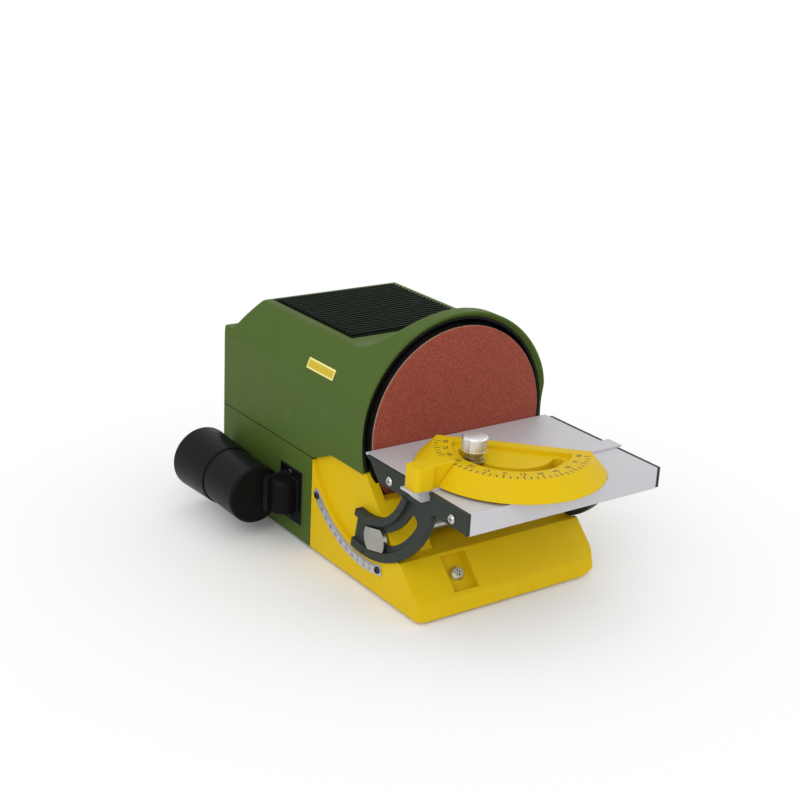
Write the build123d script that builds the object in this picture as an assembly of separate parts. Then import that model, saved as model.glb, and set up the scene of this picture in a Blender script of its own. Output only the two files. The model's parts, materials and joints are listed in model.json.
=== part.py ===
from build123d import *
import os
from math import atan2, cos, radians, sin, sqrt, tan

# Frame while modelling: X to the right, Y away from the user, Z up from the bench, millimetres.
# The spindle runs along Y at X = 0 and the rear edge of the table lies at Y = 0.

# Disc and spindle
DISC_R = 62.5
ABRASIVE_T = 1.0
PLATE_T = 6.0
DISC_FACE_Y = 2.0
AXIS_Z = 91.5
HUB_R = 15.0
HUB_L = 14.0
SHAFT_R = 5.0
SHAFT_END_Y = 154.0
GRUB_R = 2.0
GRUB_Y = 17.0
DISC_GAP = 0.8

# Housing
HOOD_ROOM = 8.5
FLAT_CUT = 2.8
BLEND_R = 45.0
HOOD_Y = 3.0
HOOD_STRIP = 11.5
MOUTH_EDGE = 1.2
RING_L = 7.0
WALL = 2.6
ROOF_RISE = 47.5
ROOF_FRONT_Y = 41.0
ROOF_REAR_Y = 148.0
SHELF_FRONT_Y = 164.0
SHELF_Z = 117.0
REAR_Y = 176.0
PARTING_Z = 62.0
SEAT_Z = 71.0
SEAM = 0.2
PARTING_GAP = 0.6
FOOT_STANDOFF = 2.0
CORNER_R = 5.0
LINER_T = 1.8
LINER_RIM = 1.7
LINER_WALL = 1.6
LINER_START = 0.6
LINER_BORE = 18.0
ROOF_EDGE_R = 4.0
BOSS_INSET = 6.0
UPPER_BOSS_H = 26.0

# Roof grille
GRILLE_SIDE = 6.0
GRILLE_Y0 = 51.5
GRILLE_Y1 = 145.5
GRILLE_T = 2.4
GRILLE_FIT = 0.2
SLOT_PITCH = 2.4
SLOT_W = 1.2
GRILLE_EDGE = 2.2
GRILLE_RIBS = 3
GRILLE_FLANGE = 1.1
GRILLE_FRAME = 1.6

# Front base
BASE_REAR_Y = 58.4
BASE_FRONT_Y = -60.5
LIP_Y = -58.0
LIP_Z = 11.5
SLOPE = 1.0
BLOCK_TOP_Y = 4.0
BLOCK_SLOPE = 1.149
SIDE_WALL = 9.5
INNER_WALL = 3.0
RECESS_DEPTH = 3.0
BLOCK_W = 19.7
LEDGE_Z = 57.0
NOTCH_Z = 31.0
GUARD_T = 3.0
GUARD_TOP_Z = 72.0
GUARD_GAP = 2.5
WELL_ROOM = 3.5
WELL_WALL = 3.0
BASE_WALL = 4.5
CAVITY_SIDE = 24.2
POCKET_X = -31.0
POCKET_Z = 21.5
POCKET_W = 18.0
POCKET_H = 23.0
POCKET_DEPTH = 5.0
BASE_SCREW_R = 2.0
BASE_SCREW_L = 8.0
BASE_HEAD_R = 4.5
BASE_HEAD_H = 3.6

# Table and tilt
TABLE_D = 101.0
TABLE_TOP = 87.0
TABLE_FACE = 13.0
TABLE_SKIN = 3.0
APRON_T = 2.5
SIDE_GAP = 0.5
CAP_T = 2.3
CAP_H = 12.5
PIVOT_Y = -3.0
PIVOT_RISE = 3.0
TILT_DOWN = 45.0
TILT_UP = 10.0
QUAD_R = 67.4
QUAD_BAND_R = 61.7
QUAD_RIM_R = 45.5
QUAD_IN_R = 41.0
QUAD_SUNK = 2.2
QUAD_FIT = 0.3
QUAD_REAR_DEG = -11.0
QUAD_FRONT_DEG = 74.0
QUAD_RIM_DEG = 69.5
QUAD_STEP_DEG = 72.6
QUAD_ROOT_DEG = 80.0
STOP_DEG = -65.5
CLAMP_R = 54.0
CLAMP_DEG = 13.0
ROD_R = 3.75
ROD_FIT = 0.25
SCALE_IN_R = 70.0
SCALE_OUT_R = 76.5
SCALE_REAR_DEG = -50.0
SCALE_FRONT_DEG = 14.5
SCALE_T = 0.8
SCALE_SCREW_R = 1.3
SCALE_SCREW_L = 5.0
SCALE_HEAD_R = 2.3
SCALE_HEAD_H = 1.2
ROD_HEAD_R = 10.3
ROD_HEAD_FLAT = 6.9
ROD_HEAD_T = 2.6
CLAMP_GAP = 0.3
SLEEVE_R = 6.6
CLAMP_KNOB_R = 15.0
CLAMP_KNOB_T = 13.0
CLAMP_KNOB_LOBES = 6
CLAMP_KNOB_SCALLOP = 5.0
QUAD_SIDE_GAP = 0.6
CAP_REAR = 4.0
CAP_RIM = 1.5
CAP_PANEL = 0.8
CAP_SCREW_INSET = 28.0
CAP_SCREW_DROP = 7.8
CAP_SCREW_R = 1.5
CAP_SCREW_L = 10.0
CAP_HEAD_R = 2.8
CAP_HEAD_H = 1.6
SCREW_WEB = 2.6
NOTCH_FIT = 0.4
APRON_CHAMFER = 1.2
REAR_FLAT = 0.3
BEVEL_SLOPE = 0.84

# Mitre gauge
RAIL_Y = -60.0
RAIL_LEFT = 13.8
RAIL_RIGHT = 4.8
RAIL_W = 11.5
RAIL_RISE = 1.2
TONGUE_SET = 5.0
TONGUE_CHAMFER = 2.5
TONGUE_W = 8.4
TONGUE_H = 6.2
GROOVE_FIT = 0.3
CHANNEL_T = 2.0
GAUGE_X = -8.7
GAUGE_R = 55.5
GAUGE_TOP_R = 45.8
GAUGE_H = 10.8
GAUGE_FIT = 0.2
GAUGE_REST_DEG = 45.0
FENCE_OUT = 9.0
FENCE_T = 7.0
POCKET_R = 34.5
POCKET_FLOOR = 6.0
PIN_ROOF = 1.2
STUD_R = 3.0
STUD_ORBIT = 27.5
GAUGE_SWING = 80.0
KNOB_R = 9.5
KNOB_H = 12.0
POINTER_SET = 2.0
POINTER_W = 13.0
POINTER_TIP_W = 9.0
POINTER_H = 13.5
POINTER_GAP = 0.4
POINTER_ROUND = 3.0
POINTER_EDGE = 0.9
WASHER_R = 6.5
KNOB_LIFT = 12.8
KNOB_FLUTES = 36
FLUTE_R = 0.6
FLUTE_OUT = 0.25

# Motor
MOTOR_R = 33.0
MOTOR_Y0 = 34.0
MOTOR_Y1 = 140.0
CAN_T = 3.0
BEARING_R = 15.0
BEARING_L = 9.0
RUN_FIT = 0.02
STATOR_Y0 = 60.0
STATOR_Y1 = 112.0
ROTOR_R = 18.5
AIR_GAP = 0.8
FAN_R = 30.0
FAN_L = 11.0
FAN_BLADES = 9
CRADLE_Y0 = 96.0
CRADLE_Y1 = 130.0
MOTOR_ROOM = 1.0
WINDOW_INSET = 20.0
WINDOW_W = 9.0
WINDOW_L = 12.0
BELL_L = 14.0
COIL_L = 8.0

# Dust way
PORT_Y = 82.0
PORT_Z = 30.0
PORT_W = 17.0
PORT_H = 23.0
PORT_REACH = 21.8
PORT_R = 19.0
PORT_SEAM_Y = 125.0
PORT_ROUND = 1.6
PORT_T = 2.0
NECK_REACH = 15.4
NECK_BEND = 9.0
NECK_ROUND = 3.0
COLLAR_OUT = 1.2
COLLAR_T = 1.6
ADAPTER_R = 21.4
ADAPTER_T = 2.6
ADAPTER_END_Y = 162.0
ADAPTER_STEP = 6.0
ADAPTER_LIP = 0.8
FLANGE_Y0 = 68.5
FLANGE_Y1 = 95.0
FLANGE_HALF_H = 18.2
FLANGE_T = 2.0
PORT_SCREW_RISE = 14.9
FRAME_W = 1.3
FRAME_H = 0.6
DUCT_T = 1.6
PORT_SCREW_R = 1.5
PORT_HEAD_R = 1.9
PORT_HEAD_H = 1.4
DUCT_SILL = 3.5
DUCT_IN_X0 = -14.0

# Controls and bottom
SWITCH_Y = 108.0
SWITCH_Z = 36.0
SWITCH_R = 10.5
SWITCH_W = 11.0
SWITCH_THROW = 22.0
SWITCH_FRAME = 1.0
SWITCH_BEZEL = 2.5
SWITCH_HINGE_IN = 2.0
SWITCH_BOX = 22.0
SWITCH_WELL = 16.0
DIAL_Y = 142.0
DIAL_Z = 36.0
DIAL_R = 11.0
DIAL_H = 13.0
DIAL_BUSH_R = 4.5
DIAL_SHAFT_R = 3.0
POT_R = 8.0
POT_L = 10.0
BOARD_T = 1.6
BOARD_FRONT = 18.0
BOARD_REAR = 16.0
BOARD_DOWN = 20.0
BOARD_UP = 18.0
SINK_H = 9.0
SINK_W = 12.0
SINK_L = 18.0
SINK_EDGE = 4.0
CAPACITOR_R = 5.0
CAPACITOR_L = 12.5
DIAL_RIBS = 16
COVER_T = 2.5
FOOT_R = 8.0
GLAND_X = 40.0
GLAND_Z = 20.0
GLAND_R = 5.2
GLAND_BORE = 3.2
GLAND_RINGS = 4
BOSS_R = 4.5
SCREW_R = 2.0
HEAD_R = 3.2
FOOT_SIDE = 12.2
FRONT_FOOT_INSET = 19.0
REAR_FOOT_INSET = 20.0

# Worked out from the values above
HOOD_R = DISC_R + HOOD_ROOM
HALF_W = HOOD_R - FLAT_CUT
ROOF_Z = AXIS_Z + ROOF_RISE
GRILLE_HALF_W = sqrt(HOOD_R ** 2 - ROOF_RISE ** 2) - GRILLE_SIDE
MOUTH_R = DISC_R + DISC_GAP + LINER_RIM
DISC_BACK_Y = DISC_FACE_Y + ABRASIVE_T + PLATE_T
PIVOT_Z = TABLE_TOP + PIVOT_RISE
TABLE_HALF_W = HALF_W + SIDE_GAP
CAP_OUT = TABLE_HALF_W + CAP_T
FLOOR_X = HALF_W - RECESS_DEPTH
RECESS_R = QUAD_R + QUAD_FIT
SLOT_HALF = ROD_R + ROD_FIT
INNER_W = FLOOR_X - INNER_WALL
WALL_IN = HALF_W - SIDE_WALL
BLOCK_X = BLOCK_W - WALL_IN
CAVITY_HALF_W = HALF_W - CAVITY_SIDE
WELL_R = DISC_R + WELL_ROOM
DUCT_IN_Z0 = AXIS_Z - WELL_R + DUCT_SILL
FOOT_X = HALF_W - FOOT_SIDE
WELL_Y1 = HOOD_Y + RING_L + SEAM + LINER_T
GUARD_Y1 = DISC_FACE_Y - GUARD_GAP
RAIL_X0 = -HALF_W - RAIL_LEFT
RAIL_X1 = HALF_W + RAIL_RIGHT
POINTER_X0 = RAIL_X0 + POINTER_SET
GAUGE_Z0 = TABLE_TOP + RAIL_RISE + GAUGE_FIT
CONE = (GAUGE_R - GAUGE_TOP_R) / GAUGE_H
STUD_X = GAUGE_X - STUD_ORBIT
KNOB_Z0 = TABLE_TOP + KNOB_LIFT
CHANNEL_W = TONGUE_W + 2 * GROOVE_FIT
CLAMP_Y = PIVOT_Y - CLAMP_R * sin(radians(CLAMP_DEG))
CLAMP_Z = PIVOT_Z - CLAMP_R * cos(radians(CLAMP_DEG))
QUAD_X_IN = FLOOR_X + QUAD_SIDE_GAP
PANEL_X = CAP_OUT - CAP_PANEL
QUAD_SUNK_X = PANEL_X - QUAD_SUNK
CLAMP_KNOB_X = CAP_OUT + 1.0
LOWER_Y0 = BASE_REAR_Y + PARTING_GAP
PORT_X = -HALF_W - PORT_REACH
NECK_X = -HALF_W - NECK_REACH
HEAD_Y0 = PORT_Y + PORT_W / 2 - PORT_T
FLANGE_Z0 = PORT_Z - FLANGE_HALF_H
FLANGE_Z1 = PORT_Z + FLANGE_HALF_H

ALONG_X = (1, 0, 0)
ALONG_Y = (0, 1, 0)
ALONG_Z = (0, 0, 1)


# Shape helpers
def turned(profile, at, along):
    """Solid of revolution about a line: the profile holds (radius, distance along the line)."""
    plane = Plane(origin=at, z_dir=along)
    outline = Polyline(*[plane.from_local_coords((r, 0, h)) for r, h in profile], close=True)
    return revolve(make_face(outline), Axis(at, along))


def rod(radius, at, along, length):
    """Round bar that starts at a point."""
    return turned([(0, 0), (radius, 0), (radius, length), (0, length)], at, along)


def tube(outer, inner, at, along, length):
    """Round tube that starts at a point."""
    return turned([(inner, 0), (outer, 0), (outer, length), (inner, length)], at, along)


def block(x0, x1, y0, y1, z0, z1):
    """Box between two corners."""
    size = Box(x1 - x0, y1 - y0, z1 - z0)
    return Pos((x0 + x1) / 2, (y0 + y1) / 2, (z0 + z1) / 2) * size


def side_prism(outline, x0, x1):
    """Prism along X over an outline of (Y, Z) points."""
    face = make_face(Polyline(*[(x0, y, z) for y, z in outline], close=True))
    return extrude(face, amount=x1 - x0, dir=ALONG_X)


def plan_prism(outline, z0, z1):
    """Prism along Z over an outline of (X, Y) points."""
    face = make_face(Polyline(*[(x, y, z0) for x, y in outline], close=True))
    return extrude(face, amount=z1 - z0, dir=ALONG_Z)


def front_prism(outline, y0, y1):
    """Prism along Y over an outline of (X, Z) points."""
    face = make_face(Polyline(*[(x, y0, z) for x, z in outline], close=True))
    return extrude(face, amount=y1 - y0, dir=ALONG_Y)


def tilt_point(radius, degrees):
    """(Y, Z) of a point about the tilt centre: 0 is straight down and positive leans to the front."""
    a = radians(degrees)
    return PIVOT_Y - radius * sin(a), PIVOT_Z - radius * cos(a)


def sector(r0, r1, a0, a1, x0, x1):
    """Ring sector about the tilt centre, extruded along X."""
    def at(radius, degrees):
        return (x0, *tilt_point(radius, degrees))

    mid = (a0 + a1) / 2
    edges = [
        Line(at(r0, a0), at(r1, a0)),
        ThreePointArc(at(r1, a0), at(r1, mid), at(r1, a1)),
        Line(at(r1, a1), at(r0, a1)),
        ThreePointArc(at(r0, a1), at(r0, mid), at(r0, a0)),
    ]
    return extrude(make_face(edges), amount=x1 - x0, dir=ALONG_X)


def tilt_slot(radius, half, a0, a1, x0, x1):
    """Curved slot with round ends about the tilt centre."""
    slot = sector(radius - half, radius + half, a0, a1, x0, x1)
    for angle in (a0, a1):
        y, z = tilt_point(radius, angle)
        slot += rod(half, (x0, y, z), ALONG_X, x1 - x0)
    return slot


def pan_screw(at, along, head_r, head_h, shank_r, shank):
    """Pan-head screw: the point is the seat of its head, and the shank runs against the direction."""
    profile = [
        (0, -shank), (shank_r, -shank), (shank_r, 0), (head_r, 0),
        (head_r, head_h * 0.5), (head_r * 0.7, head_h), (0, head_h),
    ]
    cross = Plane(origin=at, z_dir=along).location
    drive = Pos(0, 0, head_h * 0.8) * (Box(head_r, 0.8, head_h) + Box(0.8, head_r, head_h))
    return turned(profile, at, along) - cross * drive


def mirrored(shape):
    """The same piece on the other side of the machine."""
    return mirror(shape, about=Plane.YZ)


# Housing shells
def hood_section(wall):
    """Bar along Y whose section is the hood arch with blended flat sides, less a wall."""
    radius, half, blend = HOOD_R - wall, HALF_W - wall, BLEND_R - wall
    x = half - blend
    rise = sqrt((radius - blend) ** 2 - x ** 2)
    turn = atan2(rise, x)

    def at(side, across, up):
        return (side * across, -1, AXIS_Z + up)

    edges = [Line(at(-1, half, -AXIS_Z), at(1, half, -AXIS_Z))]
    joints = []
    for side in (-1, 1):
        knee = at(side, half, rise)
        soft = at(side, x + blend * cos(turn / 2), rise + blend * sin(turn / 2))
        joints.append(at(side, radius * cos(turn), radius * sin(turn)))
        edges += [Line(at(side, half, -AXIS_Z), knee), ThreePointArc(knee, soft, joints[-1])]
    edges.append(ThreePointArc(joints[0], at(1, 0, radius), joints[1]))
    return extrude(make_face(edges), amount=REAR_Y + 2, dir=ALONG_Y)


def stop_y(z):
    """Y of the line that stops the quadrant, at a height."""
    return PIVOT_Y + (PIVOT_Z - z) * tan(radians(-STOP_DEG))


def upper_side():
    """Side outline of the upper housing as a face in the plane X = 0."""
    crest = AXIS_Z + HOOD_R
    sweep_y0 = HOOD_Y + HOOD_STRIP
    run = ROOF_FRONT_Y - sweep_y0
    drop = crest - ROOF_Z
    sweep_r = (run ** 2 + drop ** 2) / (2 * drop)
    half_turn = atan2(run, sweep_r - drop) / 2
    middle = (0, ROOF_FRONT_Y - sweep_r * sin(half_turn), ROOF_Z + sweep_r * (1 - cos(half_turn)))
    bottom = PARTING_Z + PARTING_GAP
    seat = SEAT_Z + PARTING_GAP
    points = [
        (0, ROOF_FRONT_Y, ROOF_Z), (0, ROOF_REAR_Y, ROOF_Z), (0, SHELF_FRONT_Y, SHELF_Z),
        (0, REAR_Y, SHELF_Z - 1), (0, REAR_Y, bottom), (0, stop_y(bottom), bottom),
        (0, stop_y(seat), seat), (0, HOOD_Y, seat), (0, HOOD_Y, crest), (0, sweep_y0, crest),
    ]
    return make_face([Polyline(*points), ThreePointArc(points[-1], middle, points[0])])


def upper_hollow(wall):
    """Room inside the upper housing behind the ring of the hood, open at the bottom."""
    hollow = extrude(offset(upper_side(), -wall), amount=HALF_W, both=True, dir=ALONG_X)
    hollow &= hood_section(wall)
    hollow += Pos(0, 0, PARTING_Z - SEAT_Z - wall) * hollow
    return hollow - block(-HOOD_R, HOOD_R, -1, HOOD_Y + RING_L, 0, AXIS_Z + HOOD_R)


def mouth_radius(depth):
    """Radius of the flared mouth of the hood at a depth behind its face."""
    edge_r = HOOD_R - MOUTH_EDGE
    return edge_r + (MOUTH_R - edge_r) * depth / (RING_L - 2)


def upper_housing():
    """Green shell with the hood over the disc, the flat roof and the rear step."""
    side = upper_side()
    outer = extrude(side, amount=HALF_W + 1, both=True, dir=ALONG_X) & hood_section(0)
    roof_edges = outer.edges().filter_by(Axis.Y).filter_by_position(Axis.Z, ROOF_Z - 0.1, ROOF_Z + 0.1)
    outer = fillet(roof_edges, ROOF_EDGE_R)
    edge_r = mouth_radius(0)
    mouth = turned(
        [(0, -1), (edge_r, -1), (edge_r, 0), (MOUTH_R, RING_L - 2), (MOUTH_R, RING_L + 1), (0, RING_L + 1)],
        (0, HOOD_Y, AXIS_Z), ALONG_Y,
    )
    shell = outer - upper_hollow(WALL) - mouth
    shell -= block(-GRILLE_HALF_W, GRILLE_HALF_W, GRILLE_Y0, GRILLE_Y1, ROOF_Z - 2 * WALL, ROOF_Z + 1)
    for x, y in boss_places():
        boss = rod(BOSS_R, (x, y, PARTING_Z + PARTING_GAP), ALONG_Z, UPPER_BOSS_H) & hood_section(0)
        shell += boss - rod(SCREW_R, (x, y, PARTING_Z), ALONG_Z, UPPER_BOSS_H - 3)
    return shell


def boss_places():
    """(X, Y) of the four long screws that hold the housing shells together."""
    inset = WALL + 0.8 * BOSS_R
    xs = (-HALF_W + inset, HALF_W - inset)
    ys = (LOWER_Y0 + BOSS_INSET, REAR_Y - BOSS_INSET)
    return [(x, y) for x in xs for y in ys]


def lower_housing():
    """Green tub behind the base: walls, screw bosses and the openings for port, switch, dial and cable."""
    z0 = FOOT_STANDOFF
    tub = block(-HALF_W, HALF_W, LOWER_Y0, REAR_Y, z0, PARTING_Z)
    rear_edges = tub.edges().filter_by(Axis.Z).filter_by_position(Axis.Y, REAR_Y - 0.1, REAR_Y + 0.1)
    tub = fillet(rear_edges, CORNER_R)
    inner = (LOWER_Y0 + WALL, REAR_Y - WALL)
    tub -= block(-HALF_W + WALL, HALF_W - WALL, inner[0], inner[1], z0 - 1, PARTING_Z + 1)
    for x, y in boss_places():
        tub += rod(BOSS_R, (x, y, z0 + COVER_T), ALONG_Z, PARTING_Z - z0 - COVER_T)
        tub -= rod(SCREW_R + 0.2, (x, y, z0), ALONG_Z, PARTING_Z)
    tub &= block(-HALF_W, HALF_W, LOWER_Y0, REAR_Y, z0, PARTING_Z)
    tub += block(-HALF_W - FRAME_H, -HALF_W + 0.5, FLANGE_Y0 - FRAME_W, FLANGE_Y1 + FRAME_W,
                 FLANGE_Z0 - FRAME_W, FLANGE_Z1 + FRAME_W)
    tub -= block(-HALF_W - 1, -HALF_W + 1, FLANGE_Y0, FLANGE_Y1, FLANGE_Z0, FLANGE_Z1)
    half_h, half_w = PORT_H / 2, PORT_W / 2
    tub -= block(-HALF_W - 1, -HALF_W + WALL + 1, PORT_Y - half_w, PORT_Y + half_w,
                 PORT_Z - half_h, PORT_Z + half_h)
    duct = duct_box()
    tub -= block(duct[0] - 1, duct[1] + 1, LOWER_Y0 - 1, LOWER_Y0 + WALL + 1,
                 PORT_Z - half_h - 1, DUCT_IN_Z0 + PORT_H)
    switch_h = SWITCH_R + SWITCH_FRAME
    switch_w = SWITCH_W / 2 + SWITCH_FRAME
    tub -= block(HALF_W - WALL - 1, HALF_W + 1, SWITCH_Y - switch_w, SWITCH_Y + switch_w,
                 SWITCH_Z - switch_h, SWITCH_Z + switch_h)
    tub -= rod(DIAL_BUSH_R, (HALF_W - WALL - 1, DIAL_Y, DIAL_Z), ALONG_X, WALL + 2)
    tub -= rod(MOTOR_R + MOTOR_ROOM, (0, LOWER_Y0 - 1, AXIS_Z), ALONG_Y, WALL + 2)
    for y, z in port_screw_places():
        tub -= rod(PORT_SCREW_R, (-HALF_W - 1, y, z), ALONG_X, WALL + 2)
    tub -= rod(GLAND_R, (GLAND_X, REAR_Y - WALL - 1, GLAND_Z), ALONG_Y, WALL + 2)
    return tub


def bottom_cover():
    """Sheet that closes the tub from below, with a hole for each long screw and a seat for the rear feet."""
    z0 = FOOT_STANDOFF
    edge = WALL + SEAM
    sheet = block(-HALF_W + edge, HALF_W - edge, LOWER_Y0 + edge, REAR_Y - edge, z0, z0 + COVER_T)
    for x, y in boss_places():
        sheet -= rod(SCREW_R + 0.2, (x, y, z0 - 1), ALONG_Z, COVER_T + 2)
        sheet -= rod(HEAD_R + 0.3, (x, y, z0 - 1), ALONG_Z, 2.0)
    for x, y in foot_places()[2:]:
        sheet -= rod(FOOT_R * 0.4, (x, y, z0 - 1), ALONG_Z, COVER_T + 2)
    return sheet


def housing_screws():
    """Four long screws from below through the tub into the upper housing."""
    length = PARTING_Z + UPPER_BOSS_H - 6 - FOOT_STANDOFF
    screws = []
    for x, y in boss_places():
        seat = (x, y, FOOT_STANDOFF + 1.0)
        screws.append(pan_screw(seat, (0, 0, -1), HEAD_R, 1.0, SCREW_R - 0.1, length))
    return screws


def foot_places():
    """(X, Y) of the rubber feet: two under the base and two under the tub."""
    front_y = BASE_FRONT_Y + FRONT_FOOT_INSET
    rear_y = REAR_Y - REAR_FOOT_INSET
    return [(-FOOT_X, front_y), (FOOT_X, front_y), (-FOOT_X, rear_y), (FOOT_X, rear_y)]


def rubber_feet():
    """Four feet whose plugs go up into the base and the cover."""
    feet = []
    for x, y in foot_places():
        plug_r = FOOT_R * 0.4 - 0.05
        feet.append(turned(
            [(0, 0), (FOOT_R - 0.8, 0), (FOOT_R, FOOT_STANDOFF), (plug_r, FOOT_STANDOFF),
             (plug_r, FOOT_STANDOFF + COVER_T), (0, FOOT_STANDOFF + COVER_T)],
            (x, y, 0), ALONG_Z,
        ))
    return feet


def hood_liner():
    """Black dish behind the upper half of the disc: back wall and a flared lip that lines the mouth."""
    lip_in = DISC_R + DISC_GAP
    back = RING_L + SEAM + LINER_T
    start_r = mouth_radius(LINER_START) - SEAM
    plate = tube(HOOD_R, LINER_BORE, (0, HOOD_Y + RING_L + SEAM, AXIS_Z), ALONG_Y, LINER_T)
    plate &= upper_hollow(WALL + SEAM)
    lip = turned(
        [(start_r, LINER_START), (MOUTH_R - SEAM, RING_L - 2), (MOUTH_R - SEAM, back), (lip_in, back),
         (lip_in, RING_L - 2.1), (start_r - LINER_WALL, LINER_START)],
        (0, HOOD_Y, AXIS_Z), ALONG_Y,
    )
    above = block(-HALF_W, HALF_W, 0, REAR_Y, SEAT_Z + SEAM, AXIS_Z + HOOD_R)
    return (plate + (lip & hood_section(2 * SEAM))) & above


def roof_grille():
    """Black vent panel in the roof: fine slots across its width, carried by ribs beneath."""
    half = GRILLE_HALF_W - GRILLE_FIT
    y0, y1 = GRILLE_Y0 + GRILLE_FIT, GRILLE_Y1 - GRILLE_FIT
    top = ROOF_Z + 0.3
    panel = block(-half, half, y0, y1, top - GRILLE_T, top)
    count = int((y1 - y0 - 2 * GRILLE_EDGE) / SLOT_PITCH)
    first = (y0 + y1) / 2 - SLOT_PITCH * (count - 1) / 2
    slot = Box(2 * (half - GRILLE_EDGE), SLOT_W, GRILLE_T * 2)
    cuts = [Pos(0, first + SLOT_PITCH * i, top - GRILLE_T / 2) * slot for i in range(count)]
    panel = panel - cuts
    for i in range(GRILLE_RIBS):
        x = 2 * half * ((i + 1) / (GRILLE_RIBS + 1) - 0.5)
        panel += block(x - 1, x + 1, y0, y1, top - GRILLE_T - 2.5, top - GRILLE_T + 0.6)
    flange = half + GRILLE_FLANGE
    frame = block(-flange, flange, y0 - GRILLE_FLANGE, y1 + GRILLE_FLANGE,
                  ROOF_Z - WALL - GRILLE_FRAME, ROOF_Z - WALL - SEAM)
    frame -= block(-half + 2, half - 2, y0 + 2, y1 - 2, ROOF_Z - WALL - 3, ROOF_Z)
    return panel + frame


# Front base
def front_base():
    """Yellow base: slope with notch, guard and well for the disc, arc recesses for the quadrants."""
    z0 = FOOT_STANDOFF
    outline = [
        (BASE_FRONT_Y, z0), (LIP_Y, LIP_Z), (LIP_Y + (NOTCH_Z - LIP_Z) / SLOPE, NOTCH_Z),
        (BLOCK_TOP_Y - (SEAT_Z - NOTCH_Z) / BLOCK_SLOPE, NOTCH_Z), (BLOCK_TOP_Y, SEAT_Z), (stop_y(SEAT_Z), SEAT_Z),
        (stop_y(PARTING_Z), PARTING_Z), (BASE_REAR_Y, PARTING_Z), (BASE_REAR_Y, z0),
    ]
    base = side_prism(outline, -HALF_W, HALF_W)
    corner = base.edges().filter_by_position(Axis.Y, BASE_FRONT_Y - 1, LIP_Y + 0.1)
    corner = corner.filter_by_position(Axis.X, HALF_W - 0.1, HALF_W + 0.1)
    base = fillet(corner, CORNER_R)
    guard_front = GUARD_Y1 - GUARD_T
    front = BASE_FRONT_Y - 1
    base -= block(BLOCK_X, WALL_IN, front, guard_front, NOTCH_Z, AXIS_Z)
    base -= block(-WALL_IN, BLOCK_X + 1, front, guard_front, LEDGE_Z, AXIS_Z)
    base += block(BLOCK_X, WALL_IN, guard_front, GUARD_Y1, NOTCH_Z - 1, GUARD_TOP_Z)
    base -= rod(WELL_R, (0, GUARD_Y1, AXIS_Z), ALONG_Y, WELL_Y1 - GUARD_Y1) & block(
        -INNER_W, INNER_W, GUARD_Y1, WELL_Y1, 0, AXIS_Z)
    base -= block(-WALL_IN, BLOCK_X, guard_front - 1, WELL_Y1, LEDGE_Z, AXIS_Z)
    base -= block(-INNER_W, INNER_W, WELL_Y1 + WELL_WALL, BASE_REAR_Y + 1, z0 + WALL, AXIS_Z)
    cavity_y = LIP_Y + BASE_WALL * sqrt(1 + SLOPE ** 2) / SLOPE
    cavity_top = NOTCH_Z - BASE_WALL
    cavity = [
        (cavity_y, z0 - 1), (cavity_y, LIP_Z), (cavity_y + (cavity_top - LIP_Z) / SLOPE, cavity_top),
        (guard_front - BASE_WALL, cavity_top), (guard_front - BASE_WALL, z0 - 1),
    ]
    base -= side_prism(cavity, -CAVITY_HALF_W, CAVITY_HALF_W)
    for side in (-1, 1):
        base -= rod(RECESS_R, (side * FLOOR_X, PIVOT_Y, PIVOT_Z), (side, 0, 0), RECESS_DEPTH + 1)
    base -= rod(ROD_R + 0.05, (-HALF_W - 1, CLAMP_Y, CLAMP_Z), ALONG_X, 2 * HALF_W + 2)
    duct = duct_box()
    base -= block(duct[0], duct[1], WELL_Y1 - 1, WELL_Y1 + WELL_WALL + 1, DUCT_IN_Z0, DUCT_IN_Z0 + PORT_H)
    for x, y in foot_places()[:2]:
        base -= rod(FOOT_R * 0.4, (x, y, z0 - 1), ALONG_Z, COVER_T + 1.2)
    for y, z in scale_screw_places():
        base -= rod(SCALE_SCREW_R, (-HALF_W - 1, y, z), ALONG_X, SCALE_SCREW_L + 1.2)
    boss, pocket, hole = screw_pocket()
    base += boss
    base -= pocket
    return base - hole


def pocket_plane(depth):
    """Plane on the slope at the screw pocket, sunk by a depth, with its Z out of the slope."""
    y = LIP_Y + (POCKET_Z - LIP_Z) / SLOPE
    length = sqrt(1 + SLOPE ** 2)
    out = (0, -SLOPE / length, 1 / length)
    at = (POCKET_X, y - out[1] * depth, POCKET_Z - out[2] * depth)
    return Plane(origin=at, x_dir=ALONG_X, z_dir=out)


def screw_pocket():
    """Boss behind the slope, pocket in it and hole for the base screw."""
    floor = pocket_plane(POCKET_DEPTH)
    boss = floor.location * Pos(0, 0, POCKET_DEPTH / 2 - BASE_WALL / 2) * Box(
        POCKET_W + BASE_WALL, POCKET_H + BASE_WALL, POCKET_DEPTH + BASE_WALL)
    boss += floor.location * Pos(0, 0, -BASE_WALL) * Cylinder(BASE_WALL + 1, 2 * BASE_WALL)
    pocket = floor.location * Pos(0, 0, POCKET_DEPTH) * Box(POCKET_W, POCKET_H, 2 * POCKET_DEPTH)
    hole = floor.location * Pos(0, 0, -BASE_SCREW_L / 2) * Cylinder(BASE_SCREW_R + 0.05, 1.5 * BASE_SCREW_L)
    return boss, pocket, hole


def base_screw():
    """Pan-head screw in the pocket of the slope."""
    floor = pocket_plane(POCKET_DEPTH)
    seat, out = tuple(floor.origin), tuple(floor.z_dir)
    return pan_screw(seat, out, BASE_HEAD_R, BASE_HEAD_H, BASE_SCREW_R, BASE_SCREW_L)


# Spindle and motor
def abrasive_disc():
    """Abrasive sheet on the face of the disc."""
    return rod(DISC_R, (0, DISC_FACE_Y, AXIS_Z), ALONG_Y, ABRASIVE_T)


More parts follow.
